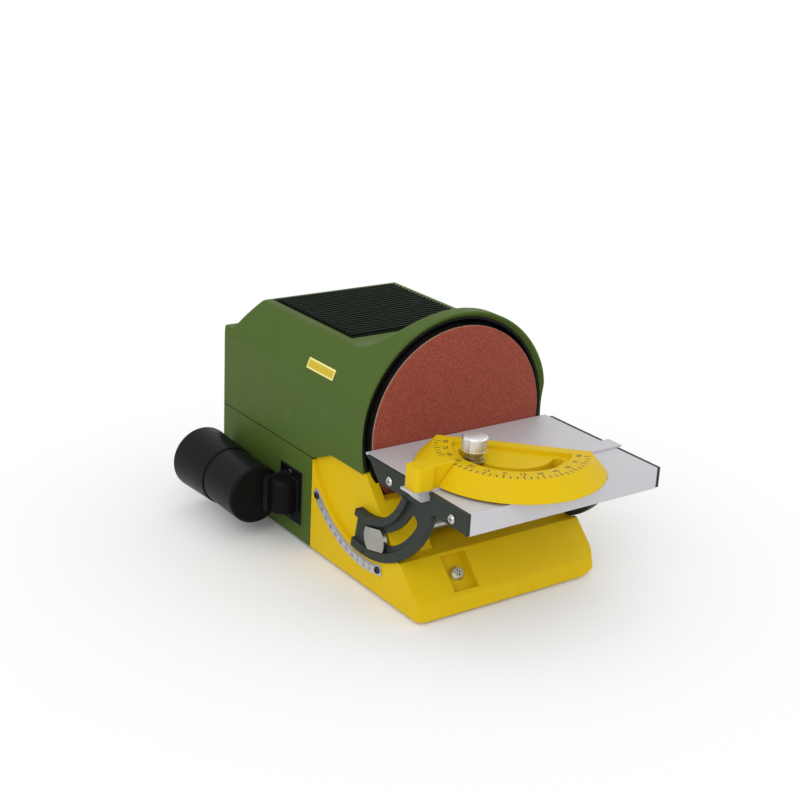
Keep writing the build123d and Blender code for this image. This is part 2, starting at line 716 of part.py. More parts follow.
def disc_plate():
    """Backing plate with a thick rim and a dished back."""
    rim_in = DISC_R - 5
    return turned(
        [(0, 0), (DISC_R, 0), (DISC_R, PLATE_T), (rim_in, PLATE_T), (rim_in - 2, PLATE_T - 2),
         (HUB_R + 5, PLATE_T - 2), (HUB_R + 3, PLATE_T), (0, PLATE_T)],
        (0, DISC_FACE_Y + ABRASIVE_T, AXIS_Z), ALONG_Y,
    )


def disc_hub():
    """Hub that carries the plate on the shaft."""
    hub = tube(HUB_R, SHAFT_R, (0, DISC_BACK_Y, AXIS_Z), ALONG_Y, HUB_L)
    return hub - rod(GRUB_R, (0, GRUB_Y, AXIS_Z), ALONG_Z, HUB_R + 1)


def hub_grub_screw():
    """Socket grub screw that locks the hub on the shaft."""
    grub = rod(GRUB_R - 0.05, (0, GRUB_Y, AXIS_Z + SHAFT_R), ALONG_Z, HUB_R - SHAFT_R - 1)
    socket = Pos(0, GRUB_Y, AXIS_Z + HUB_R - 1) * Cylinder(1.2, 5)
    return grub - socket


def motor_shaft():
    """Shaft from the hub through both bearings to the fan."""
    return turned(
        [(0, 0), (SHAFT_R - 0.5, 0), (SHAFT_R, 0.5), (SHAFT_R, SHAFT_END_Y - DISC_BACK_Y - 0.5),
         (SHAFT_R - 0.5, SHAFT_END_Y - DISC_BACK_Y), (0, SHAFT_END_Y - DISC_BACK_Y)],
        (0, DISC_BACK_Y, AXIS_Z), ALONG_Y,
    )


def bearing(y):
    """Ball bearing with a groove on each face between its rings."""
    bore = SHAFT_R + RUN_FIT
    step = (BEARING_R - bore) / 3
    a, b = bore + step, BEARING_R - step
    return turned(
        [(bore, 0), (a, 0), (a, 1), (b, 1), (b, 0), (BEARING_R, 0), (BEARING_R, BEARING_L), (b, BEARING_L),
         (b, BEARING_L - 1), (a, BEARING_L - 1), (a, BEARING_L), (bore, BEARING_L)],
        (0, y, AXIS_Z), ALONG_Y,
    )


def motor_can():
    """Motor case: a tube with an end bell and a bearing seat at each end, and cooling windows in the bells."""
    seat = BEARING_R + RUN_FIT
    length = MOTOR_Y1 - MOTOR_Y0
    inner = MOTOR_R - CAN_T
    can = turned(
        [(seat, 0), (seat + 4, 0), (seat + 4, 2), (MOTOR_R, 8), (MOTOR_R, length - 8), (seat + 4, length - 2),
         (seat + 4, length), (seat, length), (seat, length - BEARING_L - 1), (seat + 3, length - BEARING_L - 1),
         (inner, length - BELL_L), (inner, BELL_L), (seat + 3, BEARING_L + 1), (seat, BEARING_L + 1)],
        (0, MOTOR_Y0, AXIS_Z), ALONG_Y,
    )
    window = Box(WINDOW_W, WINDOW_L, 4 * CAN_T)
    for i in range(6):
        turn = Pos(0, 0, AXIS_Z) * Rot(0, 60 * i, 0)
        for y in (MOTOR_Y0 + WINDOW_INSET, MOTOR_Y1 - WINDOW_INSET):
            can -= turn * Pos(0, y, MOTOR_R) * window
    return can


def motor_stator():
    """Stack of sheets with the windings' heads, fixed in the case."""
    bore = ROTOR_R + AIR_GAP
    outer = MOTOR_R - CAN_T
    head = outer - 4
    length = STATOR_Y1 - STATOR_Y0
    stack = tube(outer, bore, (0, STATOR_Y0, AXIS_Z), ALONG_Y, length)
    return stack + tube(head, bore + 2, (0, STATOR_Y0 - COIL_L, AXIS_Z), ALONG_Y, length + 2 * COIL_L)


def motor_rotor():
    """Rotor stack on the shaft, with slots along its skin."""
    rotor = tube(ROTOR_R, SHAFT_R, (0, STATOR_Y0, AXIS_Z), ALONG_Y, STATOR_Y1 - STATOR_Y0)
    groove = Box(2, STATOR_Y1 - STATOR_Y0 + 2, 3)
    middle = (STATOR_Y0 + STATOR_Y1) / 2
    for i in range(12):
        rotor -= Pos(0, 0, AXIS_Z) * Rot(0, 30 * i, 0) * Pos(0, middle, ROTOR_R) * groove
    return rotor


def cooling_fan():
    """Fan behind the motor: hub, disc and radial blades."""
    y0 = MOTOR_Y1 + 2
    fan = turned(
        [(SHAFT_R, 0), (FAN_R, 0), (FAN_R, 1.6), (SHAFT_R + 5, 1.6), (SHAFT_R + 4, FAN_L), (SHAFT_R, FAN_L)],
        (0, y0, AXIS_Z), ALONG_Y,
    )
    reach = FAN_R - SHAFT_R - 3
    blade = Box(1.4, FAN_L - 1, reach)
    for i in range(FAN_BLADES):
        at = Pos(0, y0 + 1 + (FAN_L - 1) / 2, SHAFT_R + 3 + reach / 2)
        fan += Pos(0, 0, AXIS_Z) * Rot(0, 360 / FAN_BLADES * i, 0) * at * blade
    return fan


def motor_mount():
    """Cradle that stands on the cover and carries the motor case."""
    z0 = FOOT_STANDOFF + COVER_T
    wide, narrow = MOTOR_R + 3, MOTOR_R - 9
    horn = AXIS_Z - MOTOR_R / 2
    outline = [
        (-wide, z0), (wide, z0), (wide, z0 + 5), (narrow + 4, z0 + 5), (narrow, horn), (-narrow, horn),
        (-narrow - 4, z0 + 5), (-wide, z0 + 5),
    ]
    cradle = front_prism(outline, CRADLE_Y0, CRADLE_Y1)
    cradle -= rod(MOTOR_R + RUN_FIT, (0, CRADLE_Y0 - 1, AXIS_Z), ALONG_Y, CRADLE_Y1 - CRADLE_Y0 + 2)
    window = AXIS_Z - MOTOR_R - 8
    cradle -= block(-narrow + 8, narrow - 8, CRADLE_Y0 - 1, CRADLE_Y1 + 1, z0 + 8, window)
    return cradle


# Table, quadrants and clamp
def table_plate():
    """Aluminium extrusion: skin, apron in front, groove for the gauge, screw ports and a bevelled rear edge."""
    top = TABLE_TOP
    skin = top - TABLE_SKIN
    front = -TABLE_D
    bevel = TABLE_SKIN / BEVEL_SLOPE
    outline = [
        (front, top - TABLE_FACE), (front + APRON_T - APRON_CHAMFER, top - TABLE_FACE),
        (front + APRON_T, top - TABLE_FACE + APRON_CHAMFER), (front + APRON_T, skin), (-bevel, skin),
        (0, top - REAR_FLAT), (0, top), (front, top),
    ]
    plate = side_prism(outline, -TABLE_HALF_W, TABLE_HALF_W)
    groove = CHANNEL_W / 2
    wall = groove + CHANNEL_T
    depth = TONGUE_H + GROOVE_FIT
    plate += block(-TABLE_HALF_W, TABLE_HALF_W, RAIL_Y - wall, RAIL_Y + wall, top - depth - CHANNEL_T, skin + 1)
    for y, z in cap_screw_places():
        plate += block(-TABLE_HALF_W, TABLE_HALF_W, y - SCREW_WEB, y + SCREW_WEB, z - SCREW_WEB, skin + 1)
        plate -= rod(CAP_SCREW_R, (-TABLE_HALF_W - 1, y, z), ALONG_X, 2 * TABLE_HALF_W + 2)
    beyond = TABLE_HALF_W + 1
    return plate - block(-beyond, beyond, RAIL_Y - groove, RAIL_Y + groove, top - depth, top + 1)


def cap_screw_places():
    """(Y, Z) of the two screws in each end cap."""
    z = TABLE_TOP - CAP_SCREW_DROP
    return [(-CAP_SCREW_INSET, z), (-TABLE_D + CAP_SCREW_INSET / 2, z)]


def left_end_quadrant():
    """Left end cap of the table with its tilt quadrant: rim, curved slot and notch for the gauge rail."""
    x_in, x_out, x_rim = -QUAD_X_IN, -PANEL_X, -CAP_OUT
    low = TABLE_TOP - CAP_H
    outline = [
        (-TABLE_D, low), (-TABLE_D, TABLE_TOP), (-CAP_REAR, TABLE_TOP),
        (-CAP_REAR - 0.24 * CAP_H, TABLE_TOP - 0.13 * CAP_H),
        (-CAP_REAR - 0.68 * CAP_H, TABLE_TOP - 0.68 * CAP_H), (-CAP_REAR - 1.12 * CAP_H, low),
    ]
    cap = side_prism(outline, x_rim, -TABLE_HALF_W)
    cap -= block(x_rim - 1, x_rim + CAP_PANEL, -TABLE_D + CAP_RIM, -CAP_REAR, low - 1, TABLE_TOP - CAP_RIM)
    quad = sector(QUAD_IN_R, QUAD_R, QUAD_REAR_DEG, QUAD_FRONT_DEG - 0.5, -QUAD_SUNK_X, x_in)
    quad += sector(QUAD_IN_R, QUAD_RIM_R, QUAD_REAR_DEG, QUAD_RIM_DEG, x_rim, x_in)
    quad += sector(QUAD_BAND_R, QUAD_R, QUAD_REAR_DEG, QUAD_STEP_DEG + 0.5, x_out, x_in)
    quad += sector(QUAD_IN_R, QUAD_R, QUAD_STEP_DEG, QUAD_FRONT_DEG, x_out, x_in)
    quad += sector(QUAD_IN_R, QUAD_R, QUAD_STEP_DEG + 1, QUAD_ROOT_DEG, x_out, -TABLE_HALF_W)
    slot_end = CLAMP_DEG + TILT_DOWN
    quad -= tilt_slot(CLAMP_R, SLOT_HALF, CLAMP_DEG - TILT_UP, slot_end, x_rim - 1, x_in + 1)
    half = RAIL_W / 2 + NOTCH_FIT
    drop = TONGUE_H + GROOVE_FIT + 0.5
    notch = block(x_rim - 1, -TABLE_HALF_W + 1, RAIL_Y - half, RAIL_Y + half, TABLE_TOP - drop, TABLE_TOP + 1)
    piece = cap + quad - notch
    for y, z in cap_screw_places():
        piece -= rod(CAP_SCREW_R + 0.2, (x_rim - 1, y, z), ALONG_X, CAP_T + 2)
    return piece


def end_cap_screws():
    """Two screws through each end cap into the ports of the table."""
    screws = []
    seat = CAP_OUT - CAP_PANEL
    for side in (-1, 1):
        for y, z in cap_screw_places():
            screws.append(pan_screw((side * seat, y, z), (side, 0, 0), CAP_HEAD_R, CAP_HEAD_H,
                                    CAP_SCREW_R - 0.05, CAP_SCREW_L))
    return screws


def clamp_rod():
    """Threaded rod through the base and both quadrants, with a flat two-sided head in the left channel."""
    x0 = -QUAD_SUNK_X - CLAMP_GAP
    bar = rod(ROD_R, (x0, CLAMP_Y, CLAMP_Z), ALONG_X, CLAMP_KNOB_X + CLAMP_KNOB_T - 4 - x0)
    head = rod(ROD_HEAD_R, (x0, CLAMP_Y, CLAMP_Z), (-1, 0, 0), ROD_HEAD_T)
    slab = Box(4 * ROD_HEAD_T, 3 * ROD_HEAD_R, 2 * ROD_HEAD_FLAT)
    return bar + (head & Pos(x0, CLAMP_Y, CLAMP_Z) * Rot(-CLAMP_DEG, 0, 0) * slab)


def clamp_knob():
    """Lobed hand knob on the right end of the clamp rod."""
    bore, r, t = ROD_R + RUN_FIT, CLAMP_KNOB_R, CLAMP_KNOB_T
    knob = turned(
        [(bore, 0), (0.6 * r, 0), (0.6 * r, 0.25 * t), (r - 1, 0.25 * t), (r, 0.33 * t), (r, t - 2), (r - 2, t),
         (0, t), (0, t - 3), (bore, t - 3)],
        (CLAMP_KNOB_X, CLAMP_Y, CLAMP_Z), ALONG_X,
    )
    orbit = r + CLAMP_KNOB_SCALLOP * 0.55
    for i in range(CLAMP_KNOB_LOBES):
        a = radians(360 / CLAMP_KNOB_LOBES * i)
        at = (CLAMP_KNOB_X, CLAMP_Y + orbit * cos(a), CLAMP_Z + orbit * sin(a))
        knob -= rod(CLAMP_KNOB_SCALLOP, at, ALONG_X, t + 1)
    return knob


def clamp_sleeve():
    """Sleeve in the right channel between the quadrant and the knob."""
    x0 = QUAD_SUNK_X + CLAMP_GAP
    return tube(SLEEVE_R, ROD_R + 0.1, (x0, CLAMP_Y, CLAMP_Z), ALONG_X, CLAMP_KNOB_X - 0.1 - x0)


def scale_plate():
    """Curved tilt scale on the left face of the base."""
    plate = sector(SCALE_IN_R, SCALE_OUT_R, SCALE_REAR_DEG, SCALE_FRONT_DEG, -HALF_W - SCALE_T, -HALF_W)
    for at in scale_screw_places():
        plate -= rod(SCALE_SCREW_R + 0.1, (-HALF_W - SCALE_T - 1, *at), ALONG_X, SCALE_T + 2)
    return plate


def scale_screw_places():
    """(Y, Z) of the screw at each end of the scale."""
    middle = (SCALE_IN_R + SCALE_OUT_R) / 2
    return [tilt_point(middle, a) for a in (SCALE_REAR_DEG + 3, SCALE_FRONT_DEG - 3)]


def scale_screws():
    """Two small black screws that hold the scale."""
    seats = [(-HALF_W - SCALE_T, y, z) for y, z in scale_screw_places()]
    return [pan_screw(at, (-1, 0, 0), SCALE_HEAD_R, SCALE_HEAD_H, SCALE_SCREW_R, SCALE_SCREW_L) for at in seats]


# Mitre gauge
def guide_rail():
    """T-shaped rail: tongue in the groove of the table and a flange on top."""
    face, low = TABLE_TOP + 0.05, TABLE_TOP - TONGUE_H
    wide, slim = RAIL_W / 2, TONGUE_W / 2
    x0 = RAIL_X0 + TONGUE_SET
    rail = block(RAIL_X0, RAIL_X1, RAIL_Y - wide, RAIL_Y + wide, face, TABLE_TOP + RAIL_RISE)
    tongue = [
        (x0 + TONGUE_CHAMFER, low), (RAIL_X1, low), (RAIL_X1, face + 0.1), (x0, face + 0.1),
        (x0, low + TONGUE_CHAMFER),
    ]
    rail += front_prism(tongue, RAIL_Y - slim, RAIL_Y + slim)
    for x in (GAUGE_X, STUD_X):
        rail -= rod(STUD_R, (x, RAIL_Y, low + 2), ALONG_Z, TONGUE_H + 2)
    return rail


def gauge_cone(grow):
    """Cone of the protractor's outside, grown by a clearance."""
    return turned(
        [(0, -1), (GAUGE_R + CONE + grow, -1), (GAUGE_TOP_R + grow - 5 * CONE, GAUGE_H + 5), (0, GAUGE_H + 5)],
        (GAUGE_X, RAIL_Y, GAUGE_Z0), ALONG_Z,
    )


def pointer_block():
    """Yellow block on the rail whose edge reads the protractor."""
    z0 = TABLE_TOP + RAIL_RISE
    head, tip = POINTER_W / 2, POINTER_TIP_W / 2
    neck = POINTER_X0 + POINTER_W
    near = [(POINTER_X0, head), (neck - 2, head), (neck + 2, tip), (STUD_X, tip)]
    outline = [(x, RAIL_Y - half) for x, half in near] + [(x, RAIL_Y + half) for x, half in reversed(near)]
    body = plan_prism(outline, z0, z0 + POINTER_H)
    upright = body.edges().filter_by(Axis.Z).filter_by_position(Axis.X, POINTER_X0 - 0.1, POINTER_X0 + 0.1)
    body = fillet(upright, POINTER_ROUND)
    body = fillet(body.faces().sort_by(Axis.Z)[-1].edges(), POINTER_EDGE)
    return body - gauge_cone(POINTER_GAP)


def protractor():
    """Half-round head: conical rim, flat ring, sunken pocket with a curved slot, and a straight fence."""
    shell = [
        (GAUGE_R, 0), (GAUGE_TOP_R, GAUGE_H), (POCKET_R, GAUGE_H), (POCKET_R, POCKET_FLOOR), (0, POCKET_FLOOR),
        (0, 0), (POCKET_R + 2, 0), (POCKET_R + 2, GAUGE_H - 2.5), (GAUGE_TOP_R - 2, GAUGE_H - 2.5),
        (GAUGE_R - 3, 0),
    ]
    at = (GAUGE_X, RAIL_Y, GAUGE_Z0)
    body = turned(shell, at, ALONG_Z)
    rest = radians(GAUGE_REST_DEG)
    turn = Plane(origin=at, x_dir=(cos(rest), sin(rest), 0), z_dir=ALONG_Z).location
    solid = turned([(0, 0), (GAUGE_R, 0), (GAUGE_TOP_R, GAUGE_H), (0, GAUGE_H)], at, ALONG_Z)
    wide = 2 * GAUGE_R + 2
    fence = turn * Pos(FENCE_OUT - FENCE_T / 2, 0, GAUGE_H / 2) * Box(FENCE_T, wide, GAUGE_H)
    beyond = turn * Pos(FENCE_OUT + wide / 2, 0, GAUGE_H / 2) * Box(wide, wide, GAUGE_H + 2)
    body = body - beyond + (solid & fence)
    body -= gauge_slot(turn)
    return body - rod(STUD_R + RUN_FIT, (GAUGE_X, RAIL_Y, GAUGE_Z0 - 1), ALONG_Z, POCKET_FLOOR - PIN_ROOF + 1)


def gauge_slot(turn):
    """Curved slot in the pocket floor for the clamp stud."""
    half = STUD_R + ROD_FIT
    def at(radius, degrees):
        return (-radius * cos(radians(degrees)), -radius * sin(radians(degrees)), -1)

    r0, r1, a = STUD_ORBIT - half, STUD_ORBIT + half, GAUGE_SWING
    edges = [
        Line(at(r0, -a), at(r1, -a)), ThreePointArc(at(r1, -a), at(r1, 0), at(r1, a)),
        Line(at(r1, a), at(r0, a)), ThreePointArc(at(r0, a), at(r0, 0), at(r0, -a)),
    ]
    slot = extrude(make_face(edges), amount=POCKET_FLOOR + 2, dir=ALONG_Z)
    for end in (-a, a):
        slot += rod(half, at(STUD_ORBIT, end), ALONG_Z, POCKET_FLOOR + 2)
    return turn * slot


def gauge_pivot_pin():
    """Pin in the rail that the protractor turns on."""
    z0 = TABLE_TOP - TONGUE_H + 2
    return rod(STUD_R, (GAUGE_X, RAIL_Y, z0), ALONG_Z, GAUGE_Z0 + POCKET_FLOOR - PIN_ROOF - 0.3 - z0)


def gauge_stud():
    """Threaded stud in the rail for the clamp knob."""
    z0 = TABLE_TOP - TONGUE_H + 2
    return rod(STUD_R, (STUD_X, RAIL_Y, z0), ALONG_Z, KNOB_Z0 + KNOB_H - 3 - z0)


def gauge_washer():
    """Washer and spacer between the protractor's pocket and the knob."""
    z0 = GAUGE_Z0 + POCKET_FLOOR + 0.1
    height = KNOB_Z0 - z0 - 0.1
    return turned(
        [(STUD_R + 0.05, 0), (WASHER_R, 0), (WASHER_R, 1.2), (WASHER_R - 1, 1.2), (WASHER_R - 1, height),
         (STUD_R + 0.05, height)],
        (STUD_X, RAIL_Y, z0), ALONG_Z,
    )


def gauge_knob():
    """Fluted clamp knob on the stud."""
    knob = turned(
        [(STUD_R + RUN_FIT, 0), (KNOB_R - 2, 0), (KNOB_R, 1.5), (KNOB_R, KNOB_H - 1.5), (KNOB_R - 1.5, KNOB_H),
         (0, KNOB_H), (0, KNOB_H - 2.5), (STUD_R + RUN_FIT, KNOB_H - 2.5)],
        (STUD_X, RAIL_Y, KNOB_Z0), ALONG_Z,
    )
    for i in range(KNOB_FLUTES):
        a = radians(360 / KNOB_FLUTES * i)
        at = (STUD_X + (KNOB_R + FLUTE_OUT) * cos(a), RAIL_Y + (KNOB_R + FLUTE_OUT) * sin(a), KNOB_Z0 - 1)
        knob -= rod(FLUTE_R, at, ALONG_Z, KNOB_H + 2)
    return knob


# Dust way
def duct_box():
    """X from and to of the duct where it leaves the disc well."""
    return DUCT_IN_X0, DUCT_IN_X0 + PORT_W


def duct_solid(inset):
    """Way of the dust: a falling leg from the well to the tub, then a leg out to the port."""
    x0, x1 = duct_box()
    corner = PORT_Y + PORT_W / 2
    middle = (x0 + x1) / 2
    def section(y, z0):
        plane = Plane(origin=(middle, y, z0 + PORT_H / 2), x_dir=ALONG_X, z_dir=ALONG_Y)
        return plane * Rectangle(PORT_W - 2 * inset, PORT_H - 2 * inset)

    start = WELL_Y1 + WELL_WALL if inset == 0 else WELL_Y1
    leg_y = PORT_Y - PORT_W / 2
    low = PORT_Z - PORT_H / 2
    fall = loft([section(start, DUCT_IN_Z0), section(leg_y + inset, low)])
    out_x = -HALF_W + WALL if inset == 0 else -HALF_W - 1
    cross = block(out_x, x1 - inset, leg_y + inset, corner - inset, low + inset, low + PORT_H - inset)
    return fall + cross


def dust_duct():
    """Duct between the disc well and the port."""
    return duct_solid(0) - duct_solid(DUCT_T)


def neck_block(inset):
    """Neck of the port with its rounded bend, inset on all sides but the wall and the head."""
    half_h = PORT_H / 2 - inset
    x0, y0 = NECK_X + inset, PORT_Y - PORT_W / 2 + inset
    neck = block(x0, -HALF_W, y0, PORT_Y + PORT_W / 2, PORT_Z - half_h, PORT_Z + half_h)
    bend = neck.edges().filter_by(Axis.Z).filter_by_position(Axis.X, x0 - 0.1, x0 + 0.1).sort_by(Axis.Y)[0]
    return fillet(bend, NECK_BEND - inset)


def round_neck():
    """Outside of the neck, with its upper and lower edges rounded."""
    neck = neck_block(0)
    rear = PORT_Y + PORT_W / 2
    edges = []
    for face in (neck.faces().sort_by(Axis.Z)[0], neck.faces().sort_by(Axis.Z)[-1]):
        edges += [e for e in face.edges() if e.center().X < -HALF_W - 0.1 and e.center().Y < rear - 0.1]
    return fillet(edges, NECK_ROUND)


def dust_elbow():
    """Black port on the left side: flange, neck that bends to the rear and a closed round head."""
    inner = PORT_R - PORT_T
    length = PORT_SEAM_Y - HEAD_Y0
    head_start = (PORT_X, HEAD_Y0, PORT_Z)
    flange = block(-HALF_W - FLANGE_T + 1, -HALF_W + 1, FLANGE_Y0 + SEAM, FLANGE_Y1 - SEAM,
                   FLANGE_Z0 + SEAM, FLANGE_Z1 - SEAM)
    collar_h = PORT_H / 2 + COLLAR_OUT
    collar = block(NECK_X - COLLAR_OUT, -HALF_W, HEAD_Y0 - COLLAR_T, HEAD_Y0 + 1,
                   PORT_Z - collar_h, PORT_Z + collar_h)
    corners = collar.edges().filter_by(Axis.Y).filter_by_position(Axis.X, NECK_X - COLLAR_OUT - 0.1, NECK_X)
    soft = (1 - sqrt(0.5)) * PORT_ROUND
    head = turned(
        [(0, 0), (PORT_R - PORT_ROUND, 0), (PORT_R - soft, soft), (PORT_R, PORT_ROUND), (PORT_R, length),
         (0, length)],
        head_start, ALONG_Y,
    )
    hollow = turned([(0, PORT_T), (inner, PORT_T), (inner, length + 1), (0, length + 1)], head_start, ALONG_Y)
    way = neck_block(PORT_T) & block(NECK_X, -HALF_W, 0, HEAD_Y0, 0, PARTING_Z)
    way += Pos(FLANGE_T, 0, 0) * way
    window = rod(inner, (PORT_X, HEAD_Y0 - 1, PORT_Z), ALONG_Y, PORT_T + 2)
    half_h = PORT_H / 2 - PORT_T
    window &= block(NECK_X + PORT_T, -HALF_W, HEAD_Y0 - 1, HEAD_Y0 + PORT_T + 1,
                    PORT_Z - half_h, PORT_Z + half_h)
    elbow = flange + round_neck() + fillet(corners, NECK_ROUND) + head - hollow - way - window
    for y, z in port_screw_places():
        elbow -= rod(PORT_SCREW_R, (-HALF_W - FLANGE_T, y, z), ALONG_X, FLANGE_T + 2)
    return elbow


def port_screw_places():
    """(Y, Z) of the two screws in the flange."""
    y = (FLANGE_Y0 + FLANGE_Y1) / 2
    return [(y, PORT_Z + PORT_SCREW_RISE), (y, PORT_Z - PORT_SCREW_RISE)]


def port_screws():
    """Two screws that hold the flange of the port."""
    seats = [(-HALF_W - FLANGE_T + 1, y, z) for y, z in port_screw_places()]
    length = FLANGE_T + WALL - 1.5
    return [pan_screw(at, (-1, 0, 0), PORT_HEAD_R, PORT_HEAD_H, PORT_SCREW_R, length) for at in seats]


def port_adapter():
    """Wider sleeve on the round head: its open rear end takes a hose."""
    length = ADAPTER_END_Y - PORT_SEAM_Y
    inner = ADAPTER_R - ADAPTER_T
    return turned(
        [(PORT_R - PORT_T, 0), (PORT_R, 0), (PORT_R + ADAPTER_LIP, ADAPTER_LIP / 2), (ADAPTER_R, length),
         (inner, length), (inner, ADAPTER_STEP), (PORT_R - PORT_T, 2)],
        (PORT_X, PORT_SEAM_Y, PORT_Z), ALONG_Y,
    )


# Controls
def switch_bezel():
    """Frame of the rocker switch with its box behind the wall."""
    half_h, half_w = SWITCH_R + 0.3, SWITCH_W / 2 + 0.3
    out_h, out_w = SWITCH_R + SWITCH_FRAME - SEAM, SWITCH_W / 2 + SWITCH_FRAME - SEAM
    lip_h, lip_w = out_h + SWITCH_BEZEL, out_w + SWITCH_BEZEL

    def centred(x0, x1, wide, high):
        return block(x0, x1, SWITCH_Y - wide, SWITCH_Y + wide, SWITCH_Z - high, SWITCH_Z + high)

    lip = centred(HALF_W, HALF_W + 1.8, lip_w, lip_h)
    lip = chamfer(lip.faces().sort_by(Axis.X)[-1].edges(), 0.8)
    box = centred(HALF_W - SWITCH_BOX, HALF_W + 0.5, out_w, out_h)
    well = centred(HALF_W - SWITCH_WELL, HALF_W + 3, half_w, half_h)
    pin = rod(1.2, (HALF_W - SWITCH_HINGE_IN, SWITCH_Y - out_w, SWITCH_Z), ALONG_Y, 2 * out_w)
    return lip + box - well + pin


def switch_rocker():
    """Rocker on its pin, resting in the off position."""
    hinge = (HALF_W - SWITCH_HINGE_IN, SWITCH_Y, SWITCH_Z)
    tip, half = SWITCH_R * 0.86, SWITCH_W / 2
    crown = sqrt(SWITCH_R ** 2 - tip ** 2)
    middle = crown - tip * tan(radians(SWITCH_THROW / 2))
    outline = [(-5, -SWITCH_R), (crown, -tip), (middle, 0), (crown, tip), (-5, SWITCH_R)]
    drum = rod(SWITCH_R, (0, -half, 0), ALONG_Y, SWITCH_W)
    rocker = drum & front_prism(outline, -half, half)
    rocker -= rod(1.25, (0, -half - 1, 0), ALONG_Y, SWITCH_W + 2)
    return Pos(*hinge) * Rot(0, -SWITCH_THROW / 2, 0) * rocker


def speed_pot():
    """Potentiometer behind the wall, with its bush through the wall and a nut outside."""
    x0 = HALF_W - WALL - POT_L
    can = rod(POT_R, (x0, DIAL_Y, DIAL_Z), ALONG_X, POT_L)
    bush = rod(DIAL_BUSH_R - 0.1, (x0, DIAL_Y, DIAL_Z), ALONG_X, POT_L + WALL + 2.5)
    face = Plane(origin=(HALF_W, DIAL_Y, DIAL_Z), z_dir=ALONG_X).location
    nut = face * extrude(RegularPolygon(DIAL_BUSH_R + 2, 6), amount=1.8)
    return can + bush + nut - rod(DIAL_SHAFT_R + RUN_FIT, (x0 + 2, DIAL_Y, DIAL_Z), ALONG_X, POT_L + WALL + 4)


def pot_shaft():
    """Shaft of the potentiometer, which carries the dial."""
    x0 = HALF_W - WALL - POT_L + 2
    return rod(DIAL_SHAFT_R, (x0 + 0.1, DIAL_Y, DIAL_Z), ALONG_X, HALF_W + DIAL_H - 1 - x0)


def speed_knob():
    """Speed dial: a ribbed knob with a hollow back and a pointer groove."""
    x0 = HALF_W + 0.6
    knob = turned(
        [(DIAL_SHAFT_R, 3), (DIAL_R - 2, 3), (DIAL_R - 2, 0), (DIAL_R, 0), (DIAL_R - 0.8, DIAL_H - 1.2),
         (DIAL_R - 2, DIAL_H), (0, DIAL_H), (0, DIAL_H - 1), (DIAL_SHAFT_R, DIAL_H - 1)],
        (x0, DIAL_Y, DIAL_Z), ALONG_X,
    )
    for i in range(DIAL_RIBS):
        a = radians(360 / DIAL_RIBS * i)
        at = (x0 + 2, DIAL_Y + (DIAL_R + 0.5) * cos(a), DIAL_Z + (DIAL_R + 0.5) * sin(a))
        knob -= rod(1.2, at, ALONG_X, DIAL_H)
    end = x0 + DIAL_H
    return knob - block(end - 0.8, end + 1, DIAL_Y - 0.7, DIAL_Y + 0.7, DIAL_Z + 2, DIAL_Z + DIAL_R)


def speed_board():
    """Circuit board behind the potentiometer, with a heat sink and a capacitor."""
    x1 = HALF_W - WALL - POT_L
    x0 = x1 - BOARD_T
    y0, y1 = DIAL_Y - BOARD_FRONT, DIAL_Y + BOARD_REAR
    z0 = DIAL_Z - BOARD_DOWN
    board = block(x0, x1, y0, y1, z0, DIAL_Z + BOARD_UP)
    sink_y, sink_z = y0 + SINK_EDGE, z0 + 2 * SINK_EDGE
    board += block(x0 - SINK_H, x0, sink_y, sink_y + SINK_W, sink_z, sink_z + SINK_L)
    at = (x0 - CAPACITOR_L + 0.5, y1 - CAPACITOR_R - SINK_EDGE, DIAL_Z - CAPACITOR_R)
    return board + rod(CAPACITOR_R, at, ALONG_X, CAPACITOR_L)


def cable_gland():
    """Gland for the mains lead in the rear wall: collar, ribbed sleeve and bore."""
    wide, slim = GLAND_R + 2, GLAND_R - 1.4
    out = WALL + 0.05
    profile = [
        (GLAND_BORE, -3), (wide, -3), (wide, -0.05), (GLAND_R - 0.1, -0.05), (GLAND_R - 0.1, out), (wide, out),
        (GLAND_R + 1, WALL + 3),
    ]
    for i in range(GLAND_RINGS):
        y, ring = WALL + 3 + 2.6 * i, GLAND_R - 0.2 * i
        profile += [(ring, y + 0.2), (ring, y + 1.6), (slim, y + 1.7), (slim, y + 2.6)]
    profile += [(GLAND_BORE, profile[-1][1])]
    return turned(profile, (GLAND_X, REAR_Y - WALL, GLAND_Z), ALONG_Y)


